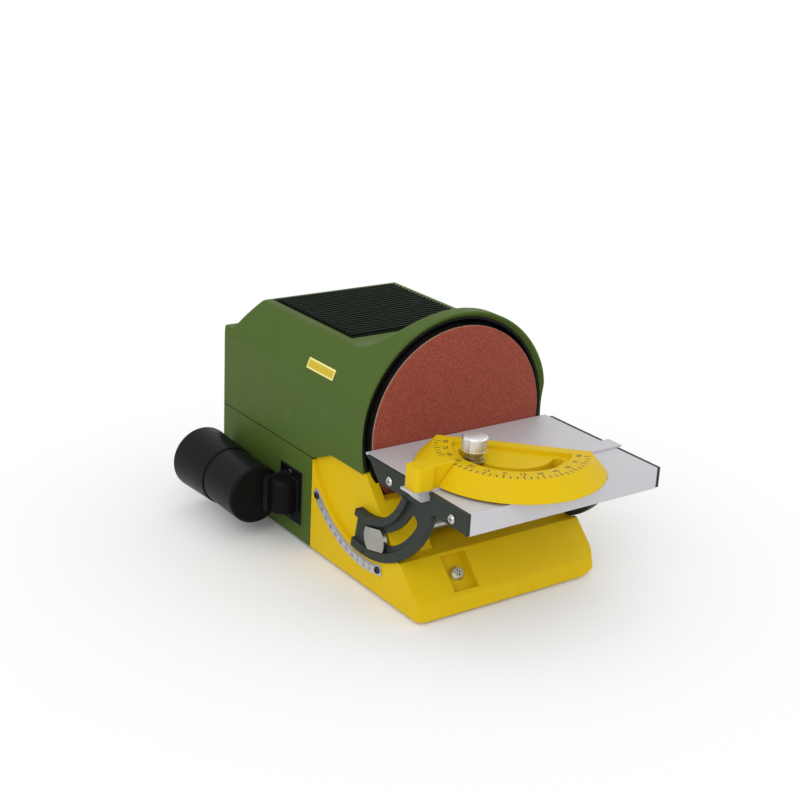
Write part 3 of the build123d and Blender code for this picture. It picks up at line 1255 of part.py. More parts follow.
# All nodes by name
NODES = {
    "upper_housing": upper_housing,
    "lower_housing": lower_housing,
    "bottom_cover": bottom_cover,
    "housing_screws": housing_screws,
    "rubber_feet": rubber_feet,
    "front_base": front_base,
    "base_screw": base_screw,
    "hood_liner": hood_liner,
    "roof_grille": roof_grille,
    "scale_plate": scale_plate,
    "scale_screws": scale_screws,
    "dust_duct": dust_duct,
    "dust_elbow": dust_elbow,
    "port_adapter": port_adapter,
    "port_screws": port_screws,
    "motor_can": motor_can,
    "motor_stator": motor_stator,
    "motor_mount": motor_mount,
    "front_bearing": lambda: bearing(MOTOR_Y0 + 0.5),
    "rear_bearing": lambda: bearing(MOTOR_Y1 - BEARING_L - 0.5),
    "motor_shaft": motor_shaft,
    "motor_rotor": motor_rotor,
    "cooling_fan": cooling_fan,
    "disc_hub": disc_hub,
    "hub_grub_screw": hub_grub_screw,
    "disc_plate": disc_plate,
    "abrasive_disc": abrasive_disc,
    "table_plate": table_plate,
    "left_end_quadrant": left_end_quadrant,
    "right_end_quadrant": lambda: mirrored(left_end_quadrant()),
    "end_cap_screws": end_cap_screws,
    "clamp_rod": clamp_rod,
    "clamp_sleeve": clamp_sleeve,
    "clamp_knob": clamp_knob,
    "guide_rail": guide_rail,
    "pointer_block": pointer_block,
    "protractor": protractor,
    "gauge_pivot_pin": gauge_pivot_pin,
    "gauge_stud": gauge_stud,
    "gauge_washer": gauge_washer,
    "gauge_knob": gauge_knob,
    "switch_bezel": switch_bezel,
    "switch_rocker": switch_rocker,
    "speed_board": speed_board,
    "speed_pot": speed_pot,
    "pot_shaft": pot_shaft,
    "speed_knob": speed_knob,
    "cable_gland": cable_gland,
}


def as_node(made):
    """One shape per node: a group of separate solids stays a compound."""
    solids = [s for piece in (made if isinstance(made, list) else [made]) for s in piece.solids()]
    return solids[0] if len(solids) == 1 else Compound(solids)


def build():
    """Makes every node and moves the whole so that the origin is the bottom centre of its box."""
    shapes = {name: as_node(make()) for name, make in NODES.items()}
    boxes = [shape.bounding_box() for shape in shapes.values()]
    low = [min(tuple(box.min)[i] for box in boxes) for i in range(3)]
    high = [max(tuple(box.max)[i] for box in boxes) for i in range(3)]
    middle = ((low[0] + high[0]) / 2, (low[1] + high[1]) / 2, low[2])
    shift = Pos(-middle[0], -middle[1], -middle[2])
    return {name: shift * shape for name, shape in shapes.items()}, middle


if __name__ == "__main__":
    os.makedirs("parts", exist_ok=True)
    parts, origin = build()
    for name, shape in parts.items():
        export_step(shape, f"parts/{name}.step")
    print("origin in the modelling frame", [round(v, 3) for v in origin])
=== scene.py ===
"""Looks of a small bench disc sander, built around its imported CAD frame."""

import json
from math import asin, atan2, cos, pi, radians, sin

import bmesh
import bpy
from bpy.props import FloatProperty, FloatVectorProperty, PointerProperty
from mathutils import Matrix, Vector


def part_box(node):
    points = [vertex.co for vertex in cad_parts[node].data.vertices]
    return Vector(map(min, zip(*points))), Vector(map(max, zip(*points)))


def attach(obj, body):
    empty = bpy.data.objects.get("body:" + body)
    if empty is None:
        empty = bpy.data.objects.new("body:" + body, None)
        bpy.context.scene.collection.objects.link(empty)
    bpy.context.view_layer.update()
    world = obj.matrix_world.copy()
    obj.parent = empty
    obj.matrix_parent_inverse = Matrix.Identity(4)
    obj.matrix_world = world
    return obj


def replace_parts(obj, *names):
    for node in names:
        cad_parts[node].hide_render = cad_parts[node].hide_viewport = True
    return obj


bl_info = {
    "name": "Bench disc sander",
    "version": (1, 0, 0),
    "blender": (4, 5, 0),
    "location": "View3D > Sidebar > Sander",
    "description": "Finishes, printed scales and small fittings of a bench disc sander",
    "category": "Object",
}

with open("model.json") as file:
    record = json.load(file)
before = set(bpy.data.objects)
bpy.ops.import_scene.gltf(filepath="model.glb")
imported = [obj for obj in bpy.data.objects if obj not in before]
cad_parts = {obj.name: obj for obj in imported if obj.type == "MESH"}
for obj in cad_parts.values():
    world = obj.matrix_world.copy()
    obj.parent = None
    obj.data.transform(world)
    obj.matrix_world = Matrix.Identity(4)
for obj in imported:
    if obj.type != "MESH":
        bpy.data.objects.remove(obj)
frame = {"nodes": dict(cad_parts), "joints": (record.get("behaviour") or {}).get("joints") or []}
NODES = frame["nodes"]
PIVOT = {joint["name"]: Vector(joint["pos_m"]) for joint in frame["joints"] if "pos_m" in joint}
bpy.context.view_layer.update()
MM = 0.001
UP = Vector((0, 0, 1))
LEFT = Vector((-1, 0, 0))
RIGHT = Vector((1, 0, 0))

# Vertices closer than SAME are joined, and heights closer than LEVEL count as level
SAME = 0.002 * MM
LEVEL = 0.02 * MM

# Planes that round an upright corner, as turns and dips in degrees
CORNER_STEPS = 7
UPRIGHT = [((step + 0.5) / CORNER_STEPS * 90, 0) for step in range(CORNER_STEPS)]

# Height of a printed digit as a share of the font's size
DIGIT_SHARE = 0.7

# Finishes made so far, by name
MADE = {}

# Sockets of the shader that a finish sets or feeds
SOCKETS = {
    "base_color": "Base Color", "roughness": "Roughness", "metallic": "Metallic", "normal": "Normal",
    "coat_weight": "Coat Weight", "specular": "Specular IOR Level",
}


def srgb(code):
    """Linear colour of a #RRGGBB code."""
    values = [int(code[i:i + 2], 16) / 255 for i in (1, 3, 5)]
    return tuple(v / 12.92 if v <= 0.04045 else ((v + 0.055) / 1.055) ** 2.4 for v in values)


def colour_property(label, note, code):
    """Colour of a finish, given as a #RRGGBB code."""
    return FloatVectorProperty(
        name=label, description=note, subtype="COLOR", size=3, min=0, max=1, default=srgb(code))


def length_property(label, note, millimetres):
    """Length in metres, given in millimetres."""
    return FloatProperty(
        name=label, description=note, default=millimetres * MM, min=0, unit="LENGTH", precision=5)


def number_property(label, note, default, **options):
    """Plain number, never below zero."""
    return FloatProperty(name=label, description=note, default=default, min=0, **options)


# Values a user would change
class SanderColours(bpy.types.PropertyGroup):
    green: colour_property("Green housing", "Moulded housing", "#4C6226")
    yellow: colour_property("Yellow base", "Moulded base, protractor and pointer", "#DDBA0C")
    black: colour_property("Black plastic", "Dust port, knobs and small mouldings", "#0F0F12")
    liner: colour_property("Liner", "Ring in the mouth of the hood", "#08080A")
    # Painted shade: near-black colour of the strips put in the parting gaps to darken them
    seam: colour_property("Seams", "Strips in the parting gaps", "#060607")
    # Painted shade: the frame and ribs are near black, darker than the fins, to stand for the shade in the
    # grille's recess
    grille: colour_property("Grille frame", "Frame and ribs of the roof grille", "#090C09")
    fin: colour_property("Grille fins", "Fins of the roof grille", "#1C231B")
    cap: colour_property("End caps", "Table end caps and quadrants", "#333834")
    badge: colour_property("Badge", "Field of the bare badge", "#CDB42A")
    badge_border: colour_property("Badge border", "Border of the bare badge", "#F0E596")
    aluminium: colour_property("Aluminium", "Table, rail, scale and hub", "#C9C8CC")
    steel: colour_property("Steel", "Bright screws, stud, shaft and bearings", "#C4C3BF")
    base_screw: colour_property("Base screw", "Plated screw in the base", "#D9DCCB")
    clamp_rod: colour_property("Clamp rod", "Rod and head of the tilt clamp", "#B0B0AA")
    chrome: colour_property("Chrome", "Knob of the mitre gauge", "#E2E2E4")
    collar: colour_property("Collar", "Plated collar under the chrome knob", "#9C946A")
    enamel: colour_property("Black enamel", "Backing plate and black screws", "#1C1C1E")
    motor: colour_property("Motor enamel", "Motor can and speed control", "#2E3236")
    stator: colour_property("Stator", "Steel sheets of the motor", "#8A7866")
    board: colour_property("Board", "Laminate of the speed board", "#2F6B44")
    rubber: colour_property("Rubber", "Feet", "#1D1D1D")
    abrasive: colour_property("Abrasive", "Sanding paper", "#994A3A")
    paper_edge: colour_property("Paper edge", "Cut edge of the sanding paper", "#B48C78")
    ink: colour_property("Ink", "Printed marks", "#0B0C0F")
    white_ink: colour_property("White ink", "Marks of the switch and the speed dial", "#D8D8D2")


class SanderSizes(bpy.types.PropertyGroup):
    edge: length_property("Edge", "Rounding of moulded edges", 0.5)
    metal_edge: length_property("Metal edge", "Rounding of metal edges", 0.25)
    rear_round: length_property("Rear corner", "Radius of the upright corners at the rear", 5.0)
    lip_left: length_property("Left lip corner", "Radius at the left of the base's front lip", 1.8)
    lip_right: length_property("Right lip corner", "Radius at the right of the base's front lip", 5.5)
    liner_back: length_property("Liner", "From the front of the hood to the liner", 2.2)
    badge_low: length_property("Badge foot", "Height of the badge's lower edge", 117.3)
    badge_high: length_property("Badge top", "Height of the badge's upper edge", 123.6)
    badge_front: length_property("Badge front", "From the front of the hood to the badge", 39.5)
    badge_long: length_property("Badge length", "Length of the bare badge", 29.5)
    fin_pitch: length_property("Fin pitch", "From one fin of the grille to the next", 4.0)
    fin_wide: length_property("Fin width", "Width of a fin of the grille", 1.3)
    fin_tall: length_property("Fin height", "Height of the fins above the roof", 1.1)
    knob_radius: length_property("Knob radius", "Radius of the chrome knob", 7.4)
    knob_high: length_property("Knob height", "Height of the chrome knob", 9.2)
    ink: length_property("Ink", "Thickness of a printed mark", 0.1)
    line: length_property("Line", "Width of a printed line", 0.6)
    figure: length_property("Figure", "Height of the protractor's and the dial's figures", 3.0)
    scale_figure: length_property("Scale figure", "Height of the tilt scale's figures", 2.1)


class SanderStage(bpy.types.PropertyGroup):
    lens: number_property("Lens", "Focal length", 65.63, unit="CAMERA")
    ambient: number_property("Ambient", "Strength of the even light", 0.75)
    key: number_property("Key", "Power of the large light", 9.0, unit="POWER")
    fill: number_property("Fill", "Power of the side light", 2.6, unit="POWER")
    floor: length_property("Floor", "Side of the floor", 8000)


def colours():
    """Colours that the finishes take."""
    return bpy.context.scene.sander_colours


def sizes():
    """Sizes that the pieces take."""
    return bpy.context.scene.sander_sizes


def studio():
    """Light, lens and floor of the stage."""
    return bpy.context.scene.sander_stage


# Shader building
class Val:
    """A socket whose arithmetic adds Math nodes."""

    def __init__(self, nodes, socket):
        self.nodes = nodes
        self.socket = socket

    def __add__(self, other):
        return self.nodes.maths("ADD", self, other)

    __radd__ = __add__

    def __sub__(self, other):
        return self.nodes.maths("SUBTRACT", self, other)

    def __rsub__(self, other):
        return self.nodes.maths("SUBTRACT", other, self)

    def __mul__(self, other):
        return self.nodes.maths("MULTIPLY", self, other)

    __rmul__ = __mul__


class Nodes:
    """A node tree in the making."""

    def __init__(self, tree):
        self.tree = tree

    def put(self, node, label, value):
        """Sets or links one socket of a node."""
        socket = node.inputs[label]
        if isinstance(value, Val):
            self.tree.links.new(value.socket, socket)
        elif isinstance(socket.default_value, float):
            socket.default_value = value
        else:
            size = len(socket.default_value)
            socket.default_value = tuple(value) if len(value) == size else (*value, 1)

    def node(self, kind, settings=None, inputs=None, output=0):
        """Adds a node: its settings first, then the values or links of its sockets."""
        node = self.tree.nodes.new(kind)
        for label, value in (settings or {}).items():
            setattr(node, label, value)
        for label, value in (inputs or {}).items():
            self.put(node, label, value)
        return Val(self, node.outputs[output])

    def maths(self, operation, *values):
        """Math node on one or two values."""
        return self.node("ShaderNodeMath", {"operation": operation}, dict(enumerate(values)))

    def seen_as_white(self):
        """1 for what the camera, a reflection or a see-through piece looks at."""
        rays = "Camera", "Glossy", "Transmission"
        camera, glossy, through = [self.node("ShaderNodeLightPath", output=f"Is {ray} Ray") for ray in rays]
        return self.maths("MAXIMUM", self.maths("MAXIMUM", camera, glossy), through)


class Finish(Nodes):
    """A material in the making: one Principled shader and the nodes that feed it."""

    def __init__(self, name, **constants):
        self.material = bpy.data.materials.new(name)
        self.material.use_nodes = True
        super().__init__(self.material.node_tree)
        self.shader = self.tree.nodes["Principled BSDF"]
        self.feed(**constants)

    def feed(self, **values):
        """Sets the shader's sockets, or links what changes over the surface to them."""
        for label, value in values.items():
            self.put(self.shader, SOCKETS[label], value)
        return self.material

    def place(self, scale=(1, 1, 1), shift=(0, 0, 0)):
        """Object coordinates, moved and scaled."""
        at = self.node("ShaderNodeTexCoord", output="Object")
        inputs = {"Vector": at, "Location": shift, "Scale": scale}
        return self.node("ShaderNodeMapping", {"vector_type": "POINT"}, inputs)

    def axis(self, vector, name):
        """One coordinate of a vector."""
        return self.node("ShaderNodeSeparateXYZ", inputs={0: vector}, output=name)

    def radius(self, along, centre):
        """Distance from an axis through a point."""
        at = self.place(shift=tuple(-c for c in centre))
        first, second = [self.axis(at, axis) for axis in "XYZ" if axis != along]
        return self.maths("SQRT", first * first + second * second)

    def noise(self, scale, detail=2, rough=0.5, stretch=(1, 1, 1)):
        """Soft noise from 0 to 1; scale counts cells per metre."""
        inputs = {"Vector": self.place(stretch), "Scale": scale, "Detail": detail, "Roughness": rough}
        return self.node("ShaderNodeTexNoise", {"noise_dimensions": "3D"}, inputs)

    def cells(self, scale, output="Distance"):
        """Cell pattern; scale counts cells per metre."""
        inputs = {"Vector": self.place(), "Scale": scale}
        return self.node("ShaderNodeTexVoronoi", {"feature": "F1"}, inputs, output)

    def waves(self, along, pitch):
        """Even waves from 0 to 1 along a length in metres."""
        return self.maths("SINE", along * (2 * pi / pitch)) * 0.5 + 0.5

    def between(self, mask, low, high):
        """Number that runs from low to high with a mask."""
        return low + mask * (high - low)

    def blend(self, mask, first, second):
        """Colour between two colours."""
        return self.node("ShaderNodeMix", {"data_type": "RGBA"}, {0: mask, 6: first, 7: second}, 2)

    def vary(self, mask, colour, low, high):
        """Colour that runs between two shades of itself."""
        return self.blend(mask, shade(colour, low), shade(colour, high))

    def ease(self, value, low, high):
        """0 below low, 1 above high and smooth between."""
        inputs = {"Value": value, "From Min": low, "From Max": high}
        return self.node("ShaderNodeMapRange", {"interpolation_type": "SMOOTHSTEP"}, inputs)

    def bump(self, height, distance, strength=1.0, under=None):
        """Normal from a height; distance is the depth in metres."""
        inputs = {"Height": height, "Distance": distance, "Strength": strength}
        if under is not None:
            inputs["Normal"] = under
        return self.node("ShaderNodeBump", inputs=inputs)

    def soft_edge(self, radius):
        """Normal with sharp edges rounded off, and a mask that is 1 on those edges."""
        rounded = self.node("ShaderNodeBevel", {"samples": 6}, {"Radius": radius})
        face = self.node("ShaderNodeNewGeometry", output="Normal")
        product = {"operation": "DOT_PRODUCT"}
        like = self.node("ShaderNodeVectorMath", product, {0: rounded, 1: face}, "Value")
        return rounded, self.ease(1 - like, 0.01, 0.2)


def shade(colour, factor):
    """Colour made lighter or darker."""
    return tuple(min(1, c * factor) for c in colour)


# Recipes of the finishes
def moulded(name, colour, rough=0.42, specular=0.12, worn=1.12, edge_share=1.0):
    """Moulded plastic: fine spark-eroded grain, faint flow marks, rubbed patches, and edges painted paler
    as a highlight, more so in the rubbed patches.
    """
    finish = Finish(name, specular=specular)
    soft, edge = finish.soft_edge(sizes().edge * edge_share)
    fine = finish.noise(2600, detail=2, rough=0.6)
    flow = finish.noise(26, detail=3)
    rubbed = finish.ease(finish.noise(70, detail=4, rough=0.65), 0.52, 0.74)
    body = finish.vary(flow * 0.55 + rubbed * 0.3 + fine * 0.15, colour, 0.93, 1.07)
    return finish.feed(
        # Painted highlight: edges paler than the body, more so in the rubbed patches
        base_color=finish.blend(edge * (0.4 + rubbed * 0.6), body, shade(colour, worn)),
        roughness=finish.between(rubbed, rough + 0.04, rough - 0.05) + fine * 0.06 - edge * 0.06,
        normal=finish.bump(fine, 0.02 * MM, under=soft),
    )


def drawn(name, colour, along, rough, metal=0.9):
    """Extruded or brushed metal with fine lines along one axis."""
    finish = Finish(name)
    soft, edge = finish.soft_edge(sizes().metal_edge)
    stretch = tuple(0.02 if axis == along else 1 for axis in "XYZ")
    lines = finish.noise(3200, detail=3, rough=0.7, stretch=stretch)
    broad = finish.noise(34, detail=3)
    scuff = finish.ease(finish.noise(160, detail=5, rough=0.7), 0.56, 0.78)
    body = finish.vary(lines * 0.6 + broad * 0.4, colour, 0.9, 1.06)
    return finish.feed(
        # Painted highlight: edges a little paler than the body
        base_color=finish.blend(edge, body, shade(colour, 1.12)),
        metallic=finish.between(scuff, metal + 0.02, metal - 0.04),
        roughness=finish.between(lines, rough - 0.05, rough + 0.07) + scuff * 0.08,
        normal=finish.bump(lines, 0.006 * MM, under=soft),
    )


def lathed(name, colour, along, centre, rough=0.28, pitch=0.35 * MM, deep=0.01 * MM):
    """Turned metal: fine rings about an axis through a point, a little uneven."""
    finish = Finish(name, metallic=1.0)
    soft, edge = finish.soft_edge(sizes().metal_edge)
    drift = finish.noise(900, detail=2) * (0.382 * pitch)
    rings = finish.waves(finish.radius(along, centre) + drift, pitch)
    stain = finish.noise(240, detail=3)
    return finish.feed(
        base_color=finish.vary(rings * 0.5 + stain * 0.5, colour, 0.86, 1.06),
        roughness=finish.between(rings, rough - 0.05, rough + 0.07) + stain * 0.06 - edge * 0.05,
        normal=finish.bump(rings, deep, under=soft),
    )


def plated(name, colour, rough):
    """Plated metal: smooth, with a faint cloudiness."""
    finish = Finish(name, metallic=1.0)
    soft, edge = finish.soft_edge(sizes().metal_edge)
    cloud = finish.noise(320, detail=4, rough=0.6)
    spots = finish.ease(finish.noise(1100, detail=3), 0.6, 0.8)
    return finish.feed(
        base_color=finish.vary(cloud, colour, 0.92, 1.05),
        roughness=finish.between(cloud, rough - 0.04, rough + 0.08) + spots * 0.08 - edge * 0.03,
        normal=finish.bump(cloud, 0.004 * MM, under=soft),
    )


def chrome(name, colour, top):
    """Chrome plate, bright on its sides and finely faced on its flat top."""
    finish = Finish(name, metallic=1.0)
    soft, edge = finish.soft_edge(sizes().metal_edge)
    cloud = finish.noise(320, detail=4, rough=0.6)
    faced = finish.ease(finish.axis(finish.place(), "Z"), top - 0.3 * MM, top - 0.05 * MM)
    grit = finish.noise(5200, detail=2)
    return finish.feed(
        base_color=finish.vary(cloud, colour, 0.9, 1.06),
        roughness=finish.between(cloud, 0.24, 0.34) + faced * 0.12 - edge * 0.08,
        normal=finish.bump(grit * faced, 0.02 * MM, under=soft),
    )


def abrasive_paper(name, colour, edge_colour, radius):
    """Sanding paper: sharp grains in red-brown resin, a few pale and dark ones, and a pale cut edge."""
    finish = Finish(name, specular=0.2)
    grains = 1500
    grain = finish.cells(grains)
    tint = finish.axis(finish.cells(grains, output="Color"), "X")
    cloud = finish.noise(60, detail=4, rough=0.6)
    pale = finish.ease(tint, 0.8, 0.95)
    dark = finish.ease(tint, 0.22, 0.06)
    body = finish.vary(grain * 0.9 + cloud * 0.35, colour, 1.12, 0.78)
    body = finish.blend(pale * 0.45, body, shade(colour, 1.7))
    body = finish.blend(dark * 0.5, body, shade(colour, 0.4))
    out = finish.radius("Y", PIVOT["disc_spin"])
    cut = finish.ease(out, radius - 0.16 * MM, radius - 0.06 * MM)
    return finish.feed(
        base_color=finish.blend(cut, body, edge_colour),
        roughness=finish.between(grain, 0.62, 0.9),
        normal=finish.bump(1 - grain * 2, 0.16 * MM, 0.8),
    )


def matt_rubber(name, colour):
    """Matt rubber with a dusty bloom."""
    finish = Finish(name, specular=0.3)
    fine = finish.noise(1800, detail=4, rough=0.7)
    bloom = finish.ease(finish.noise(90, detail=4), 0.45, 0.8)
    return finish.feed(
        base_color=finish.vary(bloom, colour, 0.85, 1.9),
        roughness=finish.between(fine, 0.72, 0.92),
        normal=finish.bump(fine, 0.05 * MM),
    )


def stacked_sheets(name, colour, along):
    """Stack of thin steel sheets seen from its side."""
    finish = Finish(name)
    sheet = 0.7 * MM
    level = finish.waves(finish.axis(finish.place(), along), sheet)
    stain = finish.noise(300, detail=4)
    return finish.feed(
        base_color=finish.vary(level * 0.6 + stain * 0.4, colour, 0.6, 1.15),
        metallic=finish.between(stain, 0.7, 0.95),
        roughness=finish.between(stain, 0.35, 0.6),
        normal=finish.bump(level, 0.06 * MM),
    )


def enamel(name, colour):
    """Sprayed enamel with a light orange-peel, and edges painted paler as a highlight."""
    finish = Finish(name, coat_weight=0.1, specular=0.3)
    soft, edge = finish.soft_edge(sizes().metal_edge)
    peel = finish.noise(700, detail=2)
    body = finish.vary(finish.noise(40, detail=3), colour, 0.9, 1.1)
    return finish.feed(
        # Painted highlight: edges paler than the body
        base_color=finish.blend(edge * 0.7, body, shade(colour, 2)),
        roughness=finish.between(peel, 0.3, 0.42),
        normal=finish.bump(peel, 0.03 * MM, under=soft),
    )


def bordered(name, field, border, middle, half):
    """Enamelled plate with a paler border; middle and half are its place and half size along Y and Z."""
    finish = Finish(name, specular=0.2)
    wide, blur = 1.0 * MM, 0.1 * MM
    cloud = finish.noise(420, detail=3, rough=0.6)
    at = finish.place()
    near = []
    for axis, centre, reach in zip("YZ", middle, half):
        off = finish.maths("ABSOLUTE", finish.axis(at, axis) - centre)
        near.append(finish.ease(off, reach - wide - blur, reach - wide + blur))
    rim = finish.maths("MAXIMUM", *near)
    return finish.feed(
        base_color=finish.blend(rim, finish.vary(cloud, field, 0.94, 1.06), border),
        roughness=finish.between(cloud, 0.26, 0.38),
        normal=finish.bump(cloud, 0.02 * MM),
    )


def laminate(name, colour):
    """Board laminate: woven glass under a tinted varnish."""
    finish = Finish(name, coat_weight=0.3)
    at = finish.place()
    radians_per_metre = 6000
    across, upright = [finish.maths("SINE", finish.axis(at, axis) * radians_per_metre) for axis in "YZ"]
    weave = across * upright * 0.5 + 0.5
    cloud = finish.noise(120, detail=3)
    return finish.feed(
        base_color=finish.vary(weave * 0.5 + cloud * 0.5, colour, 0.7, 1.3),
        roughness=finish.between(cloud, 0.3, 0.5),
        normal=finish.bump(weave, 0.01 * MM),
    )


def printing_ink(name, colour):
    """Printed mark, slightly uneven."""
    finish = Finish(name)
    cover = finish.noise(1500, detail=3)
    return finish.feed(
        base_color=finish.vary(cover, colour, 0.8, 1.6),
        roughness=finish.between(cover, 0.45, 0.65),
        normal=finish.bump(cover, 0.01 * MM),
    )


# Finishes that several pieces share
def made(label, recipe, *values, **options):
    """Finish of that name, made once by its recipe."""
    if label not in MADE:
        MADE[label] = recipe(label, *values, **options)
    return MADE[label]


def green():
    return made("green_moulding", moulded, colours().green, rough=0.46)


def yellow():
    return made("yellow_moulding", moulded, colours().yellow, rough=0.4)


def black():
    # Edges painted far paler than the body, as painted highlight rims on the black parts
    return made(
        "black_moulding", moulded, colours().black, rough=0.3, specular=0.08, worn=15, edge_share=1.8)


def aluminium():
    return made("drawn_aluminium", drawn, colours().aluminium, "X", rough=0.5, metal=0.3)


def screw_steel():
    return made("screw_plating", plated, colours().steel, rough=0.24)


def black_steel():
    return made("black_enamel", enamel, colours().enamel)


def motor_paint():
    return made("motor_enamel", enamel, colours().motor)


def ink():
    return made("printing_ink", printing_ink, colours().ink)


def white_ink():
    return made("white_ink", printing_ink, colours().white_ink)


# Piece helpers
def new_piece(name, bm, material, body, smooth_angle=40):
    """Object from a finished bmesh: material, smooth shading and the body that it rides on."""
    mesh = bpy.data.meshes.new(name)
    bm.to_mesh(mesh)
    bm.free()
    # Normals that come along from a CAD mesh would blur the faces cut since
    if mesh.has_custom_normals:
        mesh.attributes.remove(mesh.attributes["custom_normal"])
    for face in mesh.polygons:
        face.use_smooth = True
    mesh.set_sharp_from_angle(angle=radians(smooth_angle))
    mesh.materials.append(material)
    piece = bpy.data.objects.new(name, mesh)
    bpy.context.scene.collection.objects.link(piece)
    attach(piece, body)
    return piece


def dress(material, *nodes):
    """Gives CAD nodes their finish."""
    for node in nodes:
        mesh = NODES[node].data
        mesh.materials.clear()
        mesh.materials.append(material)


def merged_copy(node):
    """Bmesh of a CAD node, with its loose triangles joined."""
    bm = bmesh.new()
    bm.from_mesh(NODES[node].data)
    bmesh.ops.remove_doubles(bm, verts=bm.verts, dist=SAME)
    return bm


def whole(bm):
    """Everything in a bmesh."""
    return [*bm.verts, *bm.edges, *bm.faces]


def bar(bm, low, high):
    """Square bar between two corners."""
    low, high = Vector(low), Vector(high)
    verts = bmesh.ops.create_cube(bm, size=1)["verts"]
    bmesh.ops.scale(bm, vec=high - low, verts=verts)
    bmesh.ops.translate(bm, vec=(low + high) / 2, verts=verts)


def slice_off(bm, at, out):
    """Cuts away what lies beyond a plane, and closes the cut."""
    cut = bmesh.ops.bisect_plane(bm, geom=whole(bm), plane_co=at, plane_no=out, clear_outer=True)
    rim = [part for part in cut["geom_cut"] if isinstance(part, bmesh.types.BMEdge)]
    bmesh.ops.contextual_create(bm, geom=rim)


def round_corner(bm, corner, outward, radius, facings):
    """Rounds a corner with planes that touch a ball in it; facings are turns and dips in degrees."""
    ball = corner - outward * radius
    for turn, dip in facings:
        turn, dip = radians(turn), radians(dip)
        facing = Vector((sin(turn) * cos(dip), cos(turn) * cos(dip), sin(dip)))
        out = facing * outward
        slice_off(bm, ball + out * radius, out)


def laid(at, up, out):
    """Matrix that lays a flat mark on a surface, its top towards up and its face towards out."""
    return Matrix.Translation(at) @ Matrix((up.cross(out), up, out)).transposed().to_4x4()


def stroke(bm, place, wide, long):
    """Printed line: a thin slab, long towards its top."""
    verts = bmesh.ops.create_cube(bm, size=1)["verts"]
    bmesh.ops.scale(bm, vec=(wide, long, sizes().ink), verts=verts)
    bmesh.ops.transform(bm, matrix=place, verts=verts)


def ring_mark(bm, place, radius, wide):
    """Printed ring, the first mark in its bmesh."""
    ends = [bm.verts.new((radius + side * wide / 2, 0, sizes().ink / 2)) for side in (-1, 1)]
    edge = bm.edges.new(ends)
    bmesh.ops.spin(
        bm, geom=[*ends, edge], cent=(0, 0, 0), axis=UP, angle=2 * pi, steps=24, use_merge=True)
    bmesh.ops.recalc_face_normals(bm, faces=bm.faces)
    bmesh.ops.solidify(bm, geom=bm.faces, thickness=sizes().ink)
    bmesh.ops.transform(bm, matrix=place, verts=bm.verts)


def figure(bm, place, words, high):
    """Printed figure, centred on its place."""
    curve = bpy.data.curves.new("figure", "FONT")
    curve.body = words
    curve.align_x = "CENTER"
    curve.align_y = "CENTER"
    curve.size = high / DIGIT_SHARE
    curve.extrude = sizes().ink / 2
    curve.resolution_u = 3
    text = bpy.data.objects.new("figure", curve)
    mesh = bpy.data.meshes.new_from_object(text)
    mesh.transform(place)
    bm.from_mesh(mesh)
    bpy.data.objects.remove(text)
    bpy.data.meshes.remove(mesh)
    bpy.data.curves.remove(curve)


